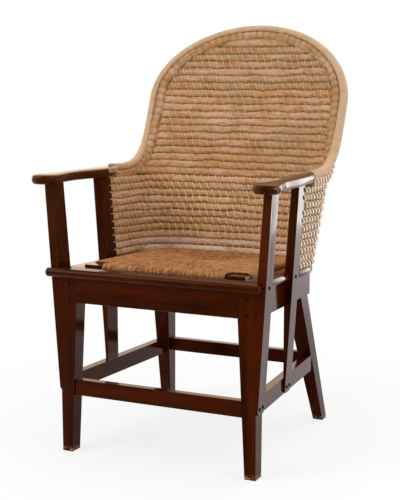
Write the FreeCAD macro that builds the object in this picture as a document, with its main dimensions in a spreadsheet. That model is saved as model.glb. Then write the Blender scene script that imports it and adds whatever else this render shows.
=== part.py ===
# A straw-backed armchair: a joined wooden frame with a drop-in rush seat, flat arms on slanting posts,
# and a leaning, wrapped back built of stitched straw courses inside a bound rim.
# Y runs from the front to the rear. "Reach" means a distance behind the front faces of the front legs.
import FreeCAD, Part
import math
import os

from FreeCAD import Placement, Rotation, Vector

# Driving sizes: millimetres, degrees for slopes and angles, whole numbers for counts.
SIZES = {
    # the frame's general sizes
    "seat_height": 430.0,
    "seat_slope": 2.0,
    "side_half": 242.0,
    "side_angle": 3.7,
    # front legs
    "leg_width": 43.0,
    "leg_foot_width": 26.0,
    "leg_depth": 40.0,
    "leg_foot_depth": 32.0,
    # rear legs, raked backwards and splayed
    "rear_leg_out": 197.0,
    "rear_leg_foot_out": 229.0,
    "rear_leg_reach": 349.0,
    "rear_leg_foot_reach": 469.0,
    "rear_leg_width": 48.0,
    "rear_leg_foot_width": 26.0,
    "rear_leg_depth": 50.0,
    "rear_leg_foot_depth": 30.0,
    # seat rails
    "rail_height": 57.0,
    "rail_thick": 22.0,
    "side_rail_overrun": 47.0,
    "rear_rail_inset": 13.0,
    "tenon_length": 30.0,
    "side_tenon_length": 18.0,
    "front_stretcher_tenon": 14.0,
    "rear_stretcher_tenon": 14.0,
    "tenon_shoulder": 5.0,
    # stretchers
    "stretcher_thick": 20.0,
    "front_stretcher_inset": 4.0,
    "front_stretcher_low": 135.0,
    "front_stretcher_height": 37.0,
    "side_stretcher_low": 141.0,
    "side_stretcher_height": 38.0,
    "rear_stretcher_low": 149.0,
    "rear_stretcher_height": 33.0,
    "rear_stretcher_inset": 2.7,
    # arm posts
    "post_thick": 18.5,
    "post_depth": 45.0,
    "post_flare": 34.0,
    "post_low": 142.0,
    "post_low_thick": 4.0,
    "post_low_round": 12.0,
    "rear_post_reach": 190.0,
    # arms
    "arm_height": 620.0,
    "arm_thick": 21.0,
    "arm_overhang": 39.0,
    "arm_reach": 268.0,
    "arm_tip_round": 15.0,
    "arm_front_width": 53.0,
    "arm_front_shift": 3.0,
    "arm_neck_width": 50.0,
    "arm_waist_width": 42.0,
    "arm_rear_width": 52.0,
    "arm_end_width": 29.0,
    "arm_end_out": 259.0,
    "arm_edge_round": 7.0,
    # seat board and its nosing
    "board_thick": 21.0,
    "board_margin": 6.0,
    "board_post_inset": 1.5,
    "board_edge_round": 9.0,
    "nosing_depth": 17.0,
    "nosing_half": 265.0,
    "nosing_shift": -9.0,
    # drop-in seat
    "pad_half": 199.0,
    "pad_front": 39.0,
    "pad_rise": 9.0,
    "pad_corner": 95.0,
    "pad_gap": 1.5,
    "pad_rest_gap": 0.3,
    "pad_back_gap": 12.0,
    "frame_bar_width": 30.0,
    "frame_bar_height": 16.0,
    "frame_bar_cover": 7.0,
    "block_width": 45.0,
    "block_depth": 40.0,
    "block_rise": 6.0,
    "cleat_bearing": 17.0,
    "cleat_height": 20.0,
    # straw back
    "straw_thick": 20.0,
    "straw_waist": 13.0,
    "back_reach": 435.0,
    "back_lean": 0.229,
    "back_radius": 850.0,
    "corner_radius": 115.0,
    "courses_low": 11,
    "courses_high": 19,
    "rim_rise": 19.0,
    "rim_run_half": 257.0,
    "shoulder_reach": 300.0,
    "shoulder_rise": 168.0,
    "shoulder_push": 110.0,
    "shoulder_pull": 146.0,
    "shoulder_lean": 0.36,
    "arch_half": 261.0,
    "arch_rise": 183.0,
    "rim_width": 14.0,
    "rim_thick": 22.0,
    "coil_width": 18.0,
    "coil_thick": 20.0,
    "coil_gap": 0.5,
    "crown_gap": 4.0,
    "rim_end_gap": 0.4,
    # fastenings
    "fastener_sides": 8,
    "peg_diameter": 9.0,
    "peg_length": 20.0,
    "peg_proud": 1.0,
    "peg_pitch": 34.0,
    "peg_rise": 25.0,
    "peg_inset": 20.0,
    "screw_head": 8.0,
    "screw_head_depth": 2.0,
    "screw_shank": 4.0,
    "board_screw_length": 34.0,
    "low_screw_length": 20.0,
    "screw_pair_pitch": 20.0,
    "screw_end_margin": 14.0,
}

document = FreeCAD.newDocument("StrawArmchair")
sheet = document.addObject("Spreadsheet::Sheet", "sizes")


def put_cell(row, alias, number):
    """One row of the sheet: the name in A, the value in B under that alias."""
    sheet.set(f"A{row}", alias)
    sheet.set(f"B{row}", repr(float(number)))
    sheet.setAlias(f"B{row}", alias)


for index, (alias, number) in enumerate(SIZES.items(), start=1):
    put_cell(index, alias, number)
document.recompute()


def size(alias):
    """The value that the sheet holds under an alias."""
    return float(sheet.get(alias))


# Values that follow from the driving sizes
SLOPE = math.radians(size("seat_slope"))
TOE = math.tan(math.radians(size("side_angle")))
ARM_RISE = size("arm_height") - size("seat_height")
RIM_RUN = (ARM_RISE + size("rim_rise")) * math.cos(SLOPE) + size("arm_reach") * math.sin(SLOPE)
LOW_PITCH = (RIM_RUN - size("rim_width") / 2 - size("coil_width")) / size("courses_low")
ARCH_SPRING = RIM_RUN + size("shoulder_rise")
ARCH_TOP = ARCH_SPRING + size("arch_rise")
BACK_TOP_REACH = size("back_reach") + size("back_lean") * ARCH_TOP + size("rim_thick") / 2
REAR_REACH = BACK_TOP_REACH * math.cos(SLOPE) + ARCH_TOP * math.sin(SLOPE)
LEG_FRONT = (size("arm_overhang") - REAR_REACH) / 2
REAR_POST_END = size("rear_post_reach") + size("post_depth")
BOARD_UNDER = size("seat_height") - size("board_thick")
RAIL_LOW = BOARD_UNDER - size("rail_height")

DERIVED = {
    "toe": TOE,
    "fall": math.tan(SLOPE),
    "leg_front": LEG_FRONT,
    "board_under": BOARD_UNDER,
    "rail_low": RAIL_LOW,
}
for index, (alias, number) in enumerate(DERIVED.items(), start=len(SIZES) + 2):
    put_cell(index, alias, number)
document.recompute()

# The seat's own frame: its origin is on the board's top above the leg fronts, and it falls to the rear.
SEAT = Placement(Vector(0, LEG_FRONT, size("seat_height")), Rotation(Vector(1, 0, 0), -size("seat_slope")))
NODES = []


def node(item, label):
    """Names a finished sub-part."""
    item.Label = label
    NODES.append(item)
    return item


def bind(item, **expressions):
    """Ties an object's sizes to the sheet. Names in the expressions are the sheet's aliases."""
    for name, text in expressions.items():
        item.setExpression(name, text)


def upright(name, low, high, foot, top):
    """A tapered post on end: foot and top are (left, right, front, rear) at the heights low and high."""
    item = document.addObject("Part::Wedge", name)
    bind(item, Ymin=low, Ymax=high,
         Xmin=foot[0], Xmax=foot[1], Zmin=f"-({foot[3]})", Zmax=f"-({foot[2]})",
         X2min=top[0], X2max=top[1], Z2min=f"-({top[3]})", Z2max=f"-({top[2]})")
    item.Placement = Placement(Vector(), Rotation(Vector(1, 0, 0), 90))
    return item


def lengthwise(name, front, rear, front_end, rear_end):
    """A bar from front to rear: its ends are (left, right, low, high)."""
    item = document.addObject("Part::Wedge", name)
    bind(item, Ymin=front, Ymax=rear,
         Xmin=front_end[0], Xmax=front_end[1], Zmin=front_end[2], Zmax=front_end[3],
         X2min=rear_end[0], X2max=rear_end[1], Z2min=rear_end[2], Z2max=rear_end[3])
    return item


def crosswise(name, half, front, thick, low, height):
    """A bar from side to side, centred on the chair."""
    item = document.addObject("Part::Box", name)
    bind(item, Length=f"2 * ({half})", Width=thick, Height=height)
    item.setExpression("Placement.Base.x", f"-({half})")
    item.setExpression("Placement.Base.y", front)
    item.setExpression("Placement.Base.z", low)
    return item


def feature(name, shape, placement=Placement()):
    """A free form that the primitives can't give, set from the sheet's values."""
    item = document.addObject("Part::Feature", name)
    item.Shape = shape
    item.Placement = placement
    return item


def cut(name, base, tool):
    item = document.addObject("Part::Cut", name)
    item.Base = base
    item.Tool = tool
    item.Refine = True
    document.recompute()
    return item


def fuse(name, pieces):
    item = document.addObject("Part::MultiFuse", name)
    item.Shapes = pieces
    item.Refine = True
    document.recompute()
    return item


def mirrored(name, source):
    item = document.addObject("Part::Mirroring", name)
    item.Source = source
    item.Normal = Vector(1, 0, 0)
    document.recompute()
    return item


def both_sides(stem, right):
    """Names a right-hand piece and adds its left-hand twin."""
    node(right, f"{stem}_right")
    node(mirrored(f"{stem}_twin", right), f"{stem}_left")


def side(reach):
    """Half the width over the frame's sides at a distance behind the leg fronts, as an expression."""
    return f"(sizes.side_half - sizes.toe * ({reach}))"


def behind(reach):
    """The Y of a distance behind the leg fronts, as an expression."""
    return f"(sizes.leg_front + ({reach}))"


# A rounding takes at most this share of the wall that it rounds.
FILLET_SHARE = 0.45

# Everything above the board's underside, which trims the legs, rails and cleats to the seat's slope
trim_half = 2 * size("side_half")
above_board = feature(
    "above_board",
    Part.makeBox(2 * trim_half, 2 * REAR_REACH, size("arm_height"),
                 Vector(-trim_half, -size("side_half"), -size("board_thick"))),
    SEAT)


# Arm posts: slats with a straight slanting outer face, flat against the frame below the seat
def post_shape(reach):
    """The right-hand post whose front face stands at a distance behind the leg fronts."""
    inner = size("side_half") - TOE * reach
    arm_outer = inner + size("post_flare")
    front = LEG_FRONT + reach
    profile = [
        Vector(inner, front, size("post_low")),
        Vector(inner, front, BOARD_UNDER),
        Vector(arm_outer - size("post_thick"), front, size("arm_height")),
        Vector(arm_outer, front, size("arm_height")),
        Vector(inner + size("post_low_thick"), front, size("post_low")),
    ]
    face = Part.Face(Part.makePolygon(profile + profile[:1]))
    depth = size("post_depth")
    slat = face.extrude(Vector(-TOE * depth, depth, 0))
    low_edges = [edge for edge in slat.Edges
                 if abs(edge.BoundBox.ZMax - size("post_low")) < size("post_low_thick") / 2
                 and edge.BoundBox.YLength < size("post_thick") / 2]
    return slat.makeFillet(min(size("post_low_round"), depth * FILLET_SHARE), low_edges)


front_post = feature("front_post", post_shape(0.0))
rear_post = feature("rear_post", post_shape(size("rear_post_reach")))

# Tenons: a reduced bar through each joint, kept only inside the legs
LEG_INNER = "(sizes.side_half - sizes.leg_width)"
SHOULDER = "sizes.tenon_shoulder"

leg_low = upright(
    "front_leg_taper", "0", "sizes.rail_low",
    ("sizes.side_half - sizes.leg_foot_width", "sizes.side_half", behind("0"), behind("sizes.leg_foot_depth")),
    (LEG_INNER, "sizes.side_half", behind("0"), behind("sizes.leg_depth")))
LEG_SECTION = (LEG_INNER, "sizes.side_half", behind("0"), behind("sizes.leg_depth"))
leg_high = upright("front_leg_head", "sizes.rail_low", "sizes.seat_height", LEG_SECTION, LEG_SECTION)
leg_whole = fuse("front_leg_whole", [leg_low, leg_high])
leg_trimmed = cut("front_leg_trimmed", leg_whole, above_board)
leg_blank = cut("front_leg_housed", leg_trimmed, front_post)
leg_blank_left = mirrored("front_leg_housed_left", leg_blank)

rear_blank = cut("rear_leg_blank", upright(
    "rear_leg_taper", "0", "sizes.board_under",
    ("sizes.rear_leg_foot_out - sizes.rear_leg_foot_width", "sizes.rear_leg_foot_out",
     behind("sizes.rear_leg_foot_reach"), behind("sizes.rear_leg_foot_reach + sizes.rear_leg_foot_depth")),
    ("sizes.rear_leg_out - sizes.rear_leg_width", "sizes.rear_leg_out",
     behind("sizes.rear_leg_reach"), behind("sizes.rear_leg_reach + sizes.rear_leg_depth"))), above_board)
rear_blank_left = mirrored("rear_leg_blank_left", rear_blank)


def cross_member(name, front, thick, low, height, half, legs):
    """A rail or stretcher between two legs, with a tenon in each, and the tenons' own bar."""
    whole = crosswise(f"{name}_bar", half, front, thick, low, height)
    tongue = crosswise(f"{name}_tongue", half, f"{front} + {SHOULDER}", f"{thick} - 2 * {SHOULDER}",
                       f"{low} + {SHOULDER}", f"{height} - 2 * {SHOULDER}")
    document.recompute()
    shoulders = cut(f"{name}_shoulders", cut(f"{name}_trimmed", whole, above_board), fuse(f"{name}_legs", legs))
    return fuse(f"{name}_piece", [shoulders, tongue]), tongue


def side_member(name, rear, tongue_rear, thick, low, high, fall, legs):
    """A rail or stretcher along the right side, tenoned into the legs, and the tenons' own bar."""
    front = "sizes.leg_depth - sizes.side_tenon_length"

    def end(reach, inset):
        drop = f"{fall} * ({reach})"
        outer = side(reach)
        return (f"{outer} - {thick} + {inset}", f"{outer} - {inset}", f"{low} - {drop} + {inset}",
                f"{high} - {drop} - {inset}")

    whole = lengthwise(f"{name}_bar", behind(front), behind(rear), end(front, "0"), end(rear, "0"))
    tongue = lengthwise(f"{name}_tongue", behind(front), behind(tongue_rear), end(front, SHOULDER),
                        end(tongue_rear, SHOULDER))
    document.recompute()
    shoulders = cut(f"{name}_shoulders", cut(f"{name}_trimmed", whole, above_board), fuse(f"{name}_legs", legs))
    return fuse(f"{name}_piece", [shoulders, tongue]), tongue


FRONT_LEGS = [leg_blank, leg_blank_left]
REAR_LEGS = [rear_blank, rear_blank_left]
front_half = f"{LEG_INNER} + sizes.tenon_length"
front_taper = "(sizes.leg_width - sizes.leg_foot_width) * (1 - sizes.front_stretcher_low / sizes.rail_low)"
front_rail, front_rail_tongue = cross_member(
    "front_rail", behind("0"), "sizes.rail_thick", "sizes.rail_low", "sizes.rail_height", front_half, FRONT_LEGS)
front_stretcher, front_stretcher_tongue = cross_member(
    "front_stretcher", behind("sizes.front_stretcher_inset"), "sizes.stretcher_thick",
    "sizes.front_stretcher_low", "sizes.front_stretcher_height",
    f"{LEG_INNER} + {front_taper} + sizes.front_stretcher_tenon", FRONT_LEGS)
rear_half = "sizes.rear_leg_out - sizes.rear_leg_width + sizes.tenon_length"
rear_rail_reach = "(sizes.rear_leg_reach + sizes.rear_rail_inset)"
rear_rail_low = f"(sizes.rail_low - sizes.fall * {rear_rail_reach})"
rear_rail, rear_rail_tongue = cross_member(
    "rear_rail", behind(rear_rail_reach), "sizes.rail_thick", rear_rail_low, "sizes.rail_height",
    rear_half, REAR_LEGS)
rear_inner = "(sizes.rear_leg_out - sizes.rear_leg_width)"
rear_foot_inner = "(sizes.rear_leg_foot_out - sizes.rear_leg_foot_width)"
rear_drop = "(1 - sizes.rear_stretcher_low / sizes.board_under)"
rear_shift = f"({rear_foot_inner} - {rear_inner}) * {rear_drop}"
rear_rake = "(sizes.rear_leg_foot_reach - sizes.rear_leg_reach)"
rear_stretcher_reach = f"sizes.rear_leg_reach + {rear_rake} * {rear_drop} + sizes.rear_stretcher_inset"
rear_stretcher, rear_stretcher_tongue = cross_member(
    "rear_stretcher", behind(rear_stretcher_reach), "sizes.stretcher_thick", "sizes.rear_stretcher_low",
    "sizes.rear_stretcher_height", f"{rear_inner} + {rear_shift} + sizes.rear_stretcher_tenon", REAR_LEGS)
side_drop = "(1 - sizes.side_stretcher_low / sizes.board_under)"
side_stretcher_rear = f"sizes.rear_leg_reach + {rear_rake} * {side_drop} + sizes.side_tenon_length"
side_stretcher, side_stretcher_tongue = side_member(
    "side_stretcher", side_stretcher_rear, side_stretcher_rear, "sizes.stretcher_thick",
    "sizes.side_stretcher_low", "sizes.side_stretcher_low + sizes.side_stretcher_height", "0",
    [leg_blank, rear_blank])
side_rail, side_rail_tongue = side_member(
    "side_rail", "sizes.rear_leg_reach + sizes.side_rail_overrun", "sizes.leg_depth + sizes.side_tenon_length",
    "sizes.rail_thick", "sizes.rail_low", "sizes.board_under", "sizes.fall", [leg_blank, rear_blank])


# Fastenings: pegs through the front rail's tenons, screws through the posts
REARWARDS = Rotation(Vector(1, 0, 0), -90)
INWARDS = Rotation(Vector(0, 1, 0), -90)


def rod(name, diameter, length, start, rotation):
    """A many-sided rod of a length from its start, which is (x, y, z)."""
    item = document.addObject("Part::Prism", name)
    item.Placement = Placement(Vector(), rotation)
    bind(item, Polygon="sizes.fastener_sides", Circumradius=f"{diameter} / 2", Height=length)
    for axis, text in zip("xyz", start):
        item.setExpression(f"Placement.Base.{axis}", text)
    return item


def with_twins(name, pieces):
    """The right-hand pieces and their left-hand twins as one set."""
    right = document.addObject("Part::Compound", f"{name}_right")
    right.Links = pieces
    document.recompute()
    both = document.addObject("Part::Compound", name)
    both.Links = [right, mirrored(f"{name}_left", right)]
    document.recompute()
    return both


def peg(place, step):
    """A peg in the right front leg, a little proud of its front face."""
    start = (f"{LEG_INNER} + sizes.peg_inset", behind("-sizes.peg_proud"),
             f"sizes.rail_low + sizes.peg_rise + ({step}) * sizes.peg_pitch")
    return rod(f"peg_{place}", "sizes.peg_diameter", "sizes.peg_length", start, REARWARDS)


def post_outer(reach, height):
    """The x of the right-hand posts' outer face at a distance behind the leg fronts and a height."""
    rise = f"({height} - sizes.post_low) / (sizes.arm_height - sizes.post_low)"
    return f"{side(reach)} + sizes.post_low_thick + {rise} * (sizes.post_flare - sizes.post_low_thick)"


def screw(name, reach, height, length):
    """A screw driven inwards, its head let in flush with the right-hand post's outer face."""
    start = (post_outer(reach, height), behind(reach), height)
    head = rod(f"{name}_head", "sizes.screw_head", "sizes.screw_head_depth", start, INWARDS)
    shank = rod(f"{name}_shank", "sizes.screw_shank", length, start, INWARDS)
    return fuse(name, [head, shank])


def post_fixings(name, post_reach):
    """One screw into the seat board's edge and a pair at the post's lower end."""
    middle = f"({post_reach} + sizes.post_depth / 2)"
    board_middle = f"(sizes.seat_height - sizes.board_thick / 2 - sizes.fall * {middle})"
    low = "(sizes.post_low + sizes.screw_end_margin)"
    low_front = f"({middle} - sizes.screw_pair_pitch / 2)"
    low_rear = f"({middle} + sizes.screw_pair_pitch / 2)"
    return [
        screw(f"{name}_board_screw", middle, board_middle, "sizes.board_screw_length"),
        screw(f"{name}_low_screw_front", low_front, low, "sizes.low_screw_length"),
        screw(f"{name}_low_screw_rear", low_rear, low, "sizes.low_screw_length"),
    ]


pegs = with_twins("pegs", [peg("low", -0.5), peg("high", 0.5)])
screws = with_twins("screws", post_fixings("front", "0") + post_fixings("rear", "sizes.rear_post_reach"))
leg_tools = fuse("front_leg_tools", [front_rail_tongue, front_stretcher_tongue, side_rail_tongue,
                                     side_stretcher_tongue, pegs, screws])
both_sides("front_leg", cut("front_leg", leg_blank, leg_tools))
rear_tools = fuse("rear_leg_tools", [rear_rail_tongue, rear_stretcher_tongue, side_stretcher_tongue])
both_sides("rear_leg", cut("rear_leg", rear_blank, rear_tools))
node(cut("front_rail", front_rail, pegs), "front_seat_rail")
node(rear_rail, "rear_seat_rail")
both_sides("side_seat_rail", side_rail)
node(cut("front_stretcher", front_stretcher, screws), "front_stretcher")
node(rear_stretcher, "rear_stretcher")
both_sides("side_stretcher", cut("side_stretcher", side_stretcher, screws))
both_sides("front_arm_post", cut("front_arm_post", front_post, screws))
both_sides("rear_arm_post", cut("rear_arm_post", rear_post, screws))
node(pegs, "rail_pegs")
node(screws, "post_screws")


# Arms: flat boards with a paddle end in front, hollowed on the inside between the posts, full over the rear post
EDGE_STEPS = 2
ARM_STEPS = 36
TURNS = [math.pi / 2 * step / EDGE_STEPS for step in range(EDGE_STEPS + 1)]


def arm_shape():
    over_post = size("post_flare") - size("post_thick") / 2
    post_middle = size("post_depth") / 2
    front_middle = size("side_half") - TOE * post_middle + over_post + size("arm_front_shift")
    front_reach = size("arm_tip_round") - size("arm_overhang")
    rear_reach = size("rear_post_reach") + post_middle
    rear_middle = size("side_half") - TOE * rear_reach + over_post
    front_outer = front_middle + size("arm_front_width") / 2
    outer_slope = (rear_middle + size("arm_rear_width") / 2 - front_outer) / (rear_reach - front_reach)

    def straight_outside(reach, width):
        """A station whose outer edge is in line with those of the paddle and of the swell over the rear post."""
        return reach, front_outer + outer_slope * (reach - front_reach) - width / 2, width

    stations = [
        (size("arm_reach"), size("arm_end_out"), size("arm_end_width")),
        (rear_reach, rear_middle, size("arm_rear_width")),
        straight_outside((post_middle + rear_reach) / 2, size("arm_waist_width")),
        straight_outside(post_middle, size("arm_neck_width")),
        (front_reach, front_middle, size("arm_front_width")),
    ]

    def outline(inset, height):
        """The arm's edge moved in by a distance: a smooth curve round the paddle, straight across the end."""
        inner = [Vector(middle - width / 2 + inset, LEG_FRONT + reach, height)
                 for reach, middle, width in stations]
        outer = [Vector(middle + width / 2 - inset, LEG_FRONT + reach, height)
                 for reach, middle, width in reversed(stations)]
        tip = Vector(front_middle, LEG_FRONT - size("arm_overhang") + inset, height)
        edge = Part.BSplineCurve()
        edge.interpolate(inner + [tip] + outer)
        first, last = edge.FirstParameter, edge.LastParameter
        points = [edge.value(first + (last - first) * step / ARM_STEPS) for step in range(ARM_STEPS + 1)]
        return Part.makePolygon(points + points[:1])

    rounding = min(size("arm_edge_round"), size("arm_thick") * FILLET_SHARE)
    lower = [outline(rounding * (1 - math.sin(turn)), rounding * (1 - math.cos(turn))) for turn in TURNS]
    upper = [outline(rounding * (1 - math.cos(turn)), size("arm_thick") - rounding * (1 - math.sin(turn)))
             for turn in TURNS]
    return Part.makeLoft(lower + upper, True, True)


both_sides("arm", feature("arm", arm_shape(), Placement(Vector(0, 0, size("arm_height")), Rotation())))


# Straw back: its surface is described in the seat's own frame, at heights above the board
def back_y(x, height):
    """The back panel's middle surface: a wide shallow arc that leans backwards."""
    crown = size("back_reach") + size("back_lean") * height
    return crown - size("back_radius") + math.sqrt(size("back_radius") ** 2 - x ** 2)


def seat_y(reach, height):
    """The seat frame's y of an upright plane at a distance behind the leg fronts."""
    return (reach - height * math.sin(SLOPE)) / math.cos(SLOPE)


CORNER_STEPS = 7
PANEL_STEPS = 4
END_STEPS = 3


def heading(vector):
    return math.atan2(vector.y, vector.x)


def arc_points(centre, radius, first, last, steps):
    """Points of a level arc about a centre, from one heading to another."""
    turns = [first + (last - first) * step / steps for step in range(steps + 1)]
    return [centre + Vector(math.cos(turn), math.sin(turn), 0) * radius for turn in turns]


def twin(point):
    return Vector(-point.x, point.y, point.z)


def both_halves(half):
    """A line from right to left through the middle, from its right half."""
    return half + [twin(point) for point in reversed(half[:-1])]


def post_middle_x(height):
    """Where the straw meets the middle of the rear post's rear face."""
    rise = height / ARM_RISE
    inner_low = size("side_half") - TOE * REAR_POST_END
    middle_low = inner_low + size("post_thick") / 2
    middle_high = inner_low + size("post_flare") - size("post_thick") / 2
    return middle_low + rise * (middle_high - middle_low)


def wrap_line(side_x, height, out, front_y):
    """A line round the back at a height, moved out from one that runs along its sides at side_x."""
    radius = size("back_radius")
    corner = size("corner_radius")
    panel = Vector(0, back_y(0.0, height) - radius, height)
    corner_x = side_x - corner
    centre = panel + Vector(corner_x, math.sqrt((radius - corner) ** 2 - corner_x ** 2), 0)
    bend = heading(centre - panel)
    front = [Vector(side_x + out, front_y, height)]
    round_corner = arc_points(centre, corner + out, 0.0, bend, CORNER_STEPS)
    across = arc_points(panel, radius + out, bend, math.pi / 2, PANEL_STEPS)
    return both_halves(front + round_corner + across[1:])


SHOULDER_LEAN = Vector(0, size("shoulder_lean"), 1).normalize()


def border_control(inset):
    """Control points of the border's shoulder, moved in from the rim's middle line by a distance."""
    run = Vector(size("rim_run_half"), size("shoulder_reach"), RIM_RUN - inset)
    spring_x = size("arch_half") - inset
    spring = Vector(spring_x, back_y(spring_x, ARCH_SPRING), ARCH_SPRING)
    pushed = run + Vector(0, size("shoulder_push") + inset, 0)
    return [run, pushed, spring - SHOULDER_LEAN * size("shoulder_pull"), spring]


def shoulder_point(inset, share):
    """A point of the border's shoulder curve, from the level run to the arch's spring."""
    rest = 1 - share
    weights = (rest ** 3, 3 * rest ** 2 * share, 3 * rest * share ** 2, share ** 3)
    total = Vector()
    for weight, point in zip(weights, border_control(inset)):
        total = total + point * weight
    return total


def arch_point(inset, turn):
    """A point of the border's arch: an ellipse seen from the front, lying on the back panel."""
    x = (size("arch_half") - inset) * math.cos(turn)
    height = ARCH_SPRING + (size("arch_rise") - inset) * math.sin(turn)
    return Vector(x, back_y(x, height), height)


SEARCH_STEPS = 40
# The shoulder starts almost level, so no course ends on its first stretch.
SHOULDER_START = 0.2


def border_at(inset, height):
    """Where a course at a height above the board ends against the border."""
    if height >= ARCH_SPRING:
        return arch_point(inset, math.asin((height - ARCH_SPRING) / (size("arch_rise") - inset)))
    low, high = SHOULDER_START, 1.0
    for _ in range(SEARCH_STEPS):
        middle = (low + high) / 2
        if shoulder_point(inset, middle).z < height:
            low = middle
        else:
            high = middle
    end = shoulder_point(inset, high)
    return Vector(end.x, end.y, height)


COURSE_INSET = size("rim_width") / 2 + size("coil_width") + size("coil_gap")
PANEL_SHARE = 0.6


def panel_line(height, out):
    """A high course's edge from its right end to its left end: the panel's arc and a tangent arc each side."""
    end = border_at(COURSE_INSET, height)
    join_x = PANEL_SHARE * end.x
    join = Vector(join_x, back_y(join_x, height), height)
    panel = Vector(0, back_y(0.0, height) - size("back_radius"), height)
    outward = join - panel
    chord = join - end
    radius = chord.dot(chord) * size("back_radius") / (2 * chord.dot(outward))
    centre = join - outward * (radius / size("back_radius"))
    bend = heading(outward)
    tail = arc_points(centre, radius + out, heading(end - centre), bend, END_STEPS)
    across = arc_points(panel, size("back_radius") + out, bend, math.pi / 2, PANEL_STEPS)
    return both_halves(tail + across[1:])


def closed(outer, inner):
    """A course's section at one height: its outer and inner edges joined across the ends."""
    ring = outer + inner[::-1]
    return Part.makePolygon(ring + ring[:1])


def low_section(height, thick):
    side_x = post_middle_x(height)
    front_y = seat_y(REAR_POST_END, height)
    return closed(wrap_line(side_x, height, thick / 2, front_y), wrap_line(side_x, height, -thick / 2, front_y))


def high_section(height, thick):
    return closed(panel_line(height, thick / 2), panel_line(height, -thick / 2))


def course_shape(section, low, high, steps):
    """One straw course: waisted where it lies on its neighbours, full at mid height."""
    swell = size("straw_thick") - size("straw_waist")
    wires = []
    for step in range(steps + 1):
        share = step / steps
        thick = size("straw_waist") + swell * math.sin(math.pi * share)
        wires.append(section(low + (high - low) * share, thick))
    return Part.makeLoft(wires, True, True)


# The first high courses end along the shoulder's tight curve, so they have more sections.
SHOULDER_COURSES = 3
SHOULDER_STEPS = 6
PLAIN_STEPS = 2
LOW_COUNT = int(size("courses_low"))
HIGH_COUNT = int(size("courses_high"))
LOW_TOP = LOW_PITCH * LOW_COUNT
HIGH_TOP = ARCH_TOP - COURSE_INSET - size("crown_gap")
HIGH_PITCH = (HIGH_TOP - LOW_TOP) / HIGH_COUNT
for index in range(LOW_COUNT + HIGH_COUNT):
    if index < LOW_COUNT:
        shape = course_shape(low_section, index * LOW_PITCH, (index + 1) * LOW_PITCH, PLAIN_STEPS)
    else:
        base = LOW_TOP + (index - LOW_COUNT) * HIGH_PITCH
        steps = SHOULDER_STEPS if index < LOW_COUNT + SHOULDER_COURSES else PLAIN_STEPS
        shape = course_shape(high_section, base, base + HIGH_PITCH, steps)
    name = f"straw_course_{index + 1:02d}"
    node(feature(name, shape, SEAT), name)

# Border: a plain straw coil and, outside it, the bound rim, both from arm to arm
RUN_STATIONS = 2
SHOULDER_STATIONS = 10
ARCH_STATIONS = 14
OVAL_SIDES = 10


def border_line(inset):
    """A line of the border, from the right arm's end over the crown to the left arm's end."""
    start = border_control(inset)[0]
    first_y = seat_y(size("arm_reach") + size("rim_end_gap"), RIM_RUN - inset)
    run = [Vector(start.x, first_y + (start.y - first_y) * step / RUN_STATIONS, start.z)
           for step in range(RUN_STATIONS)]
    shoulder = [shoulder_point(inset, step / SHOULDER_STATIONS) for step in range(SHOULDER_STATIONS)]
    arch = [arch_point(inset, math.pi / 2 * step / ARCH_STATIONS) for step in range(ARCH_STATIONS + 1)]
    return both_halves(run + shoulder + arch)


def border_shape(inset, width, thick):
    """A roll along the border: oval sections from its outer line to its inner line."""
    outer = border_line(inset - width / 2)
    inner = border_line(inset + width / 2)
    line = [(first + second) / 2 for first, second in zip(outer, inner)]
    sections = []
    for index, middle in enumerate(line):
        along = line[min(index + 1, len(line) - 1)] - line[max(index - 1, 0)]
        across = (inner[index] - outer[index]) / 2
        outward = across.cross(along).normalize() * (thick / 2)
        turns = [2 * math.pi * step / OVAL_SIDES for step in range(OVAL_SIDES + 1)]
        sections.append(Part.makePolygon(
            [middle + outward * math.cos(turn) + across * math.sin(turn) for turn in turns]))
    return Part.makeLoft(sections, True, True)


COIL_INSET = (size("rim_width") + size("coil_width")) / 2
node(feature("rim_coil", border_shape(COIL_INSET, size("coil_width"), size("coil_thick")), SEAT), "rim_coil")
node(feature("bound_rim", border_shape(0.0, size("rim_width"), size("rim_thick")), SEAT), "bound_rim")


# Seat board: straight in front, round behind under the straw, with an opening for the drop-in seat
def pad_outline(inset, height):
    """The drop-in seat's outline, moved in by a distance: square in front, round corners behind."""
    half = size("pad_half") - inset
    front = size("pad_front") + inset
    rear = size("back_reach") - size("straw_thick") / 2 - size("pad_back_gap") - inset
    corner = size("pad_corner") - inset
    centre = Vector(half - corner, rear - corner, height)
    right = [Vector(half, front, height)] + arc_points(centre, corner, 0.0, math.pi / 2, CORNER_STEPS)
    ring = right + [twin(point) for point in reversed(right)]
    return Part.makePolygon(ring + ring[:1])


def board_shape():
    """The board with its edges rounded, except along its straight front. The posts stand proud of its sides."""
    out = size("straw_thick") / 2 + size("board_margin")
    thick = size("board_thick")
    rounding = min(size("board_edge_round"), thick * FILLET_SHARE)
    under = BOARD_UNDER - math.tan(SLOPE) * REAR_POST_END
    post_rise = (under - size("post_low")) / (size("arm_height") - size("post_low"))
    post_out = size("post_low_thick") + post_rise * (size("post_flare") - size("post_low_thick"))
    edge_x = size("side_half") - TOE * REAR_POST_END + post_out - size("board_post_inset")

    def outline(inset, height):
        ring = [Vector(point.x, point.y, height) for point in wrap_line(edge_x - out, 0.0, out - inset, 0.0)]
        return Part.makePolygon(ring + ring[:1])

    lower = [outline(rounding * (1 - math.sin(turn)), rounding * (1 - math.cos(turn)) - thick)
             for turn in TURNS]
    upper = [outline(rounding * (1 - math.cos(turn)), -rounding * (1 - math.sin(turn)))
             for turn in TURNS]
    rounded = Part.makeLoft(lower + upper, True, True)
    hole = Part.Face(pad_outline(-size("pad_gap"), -thick)).extrude(Vector(0, 0, thick))
    return rounded.cut(hole)


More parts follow.
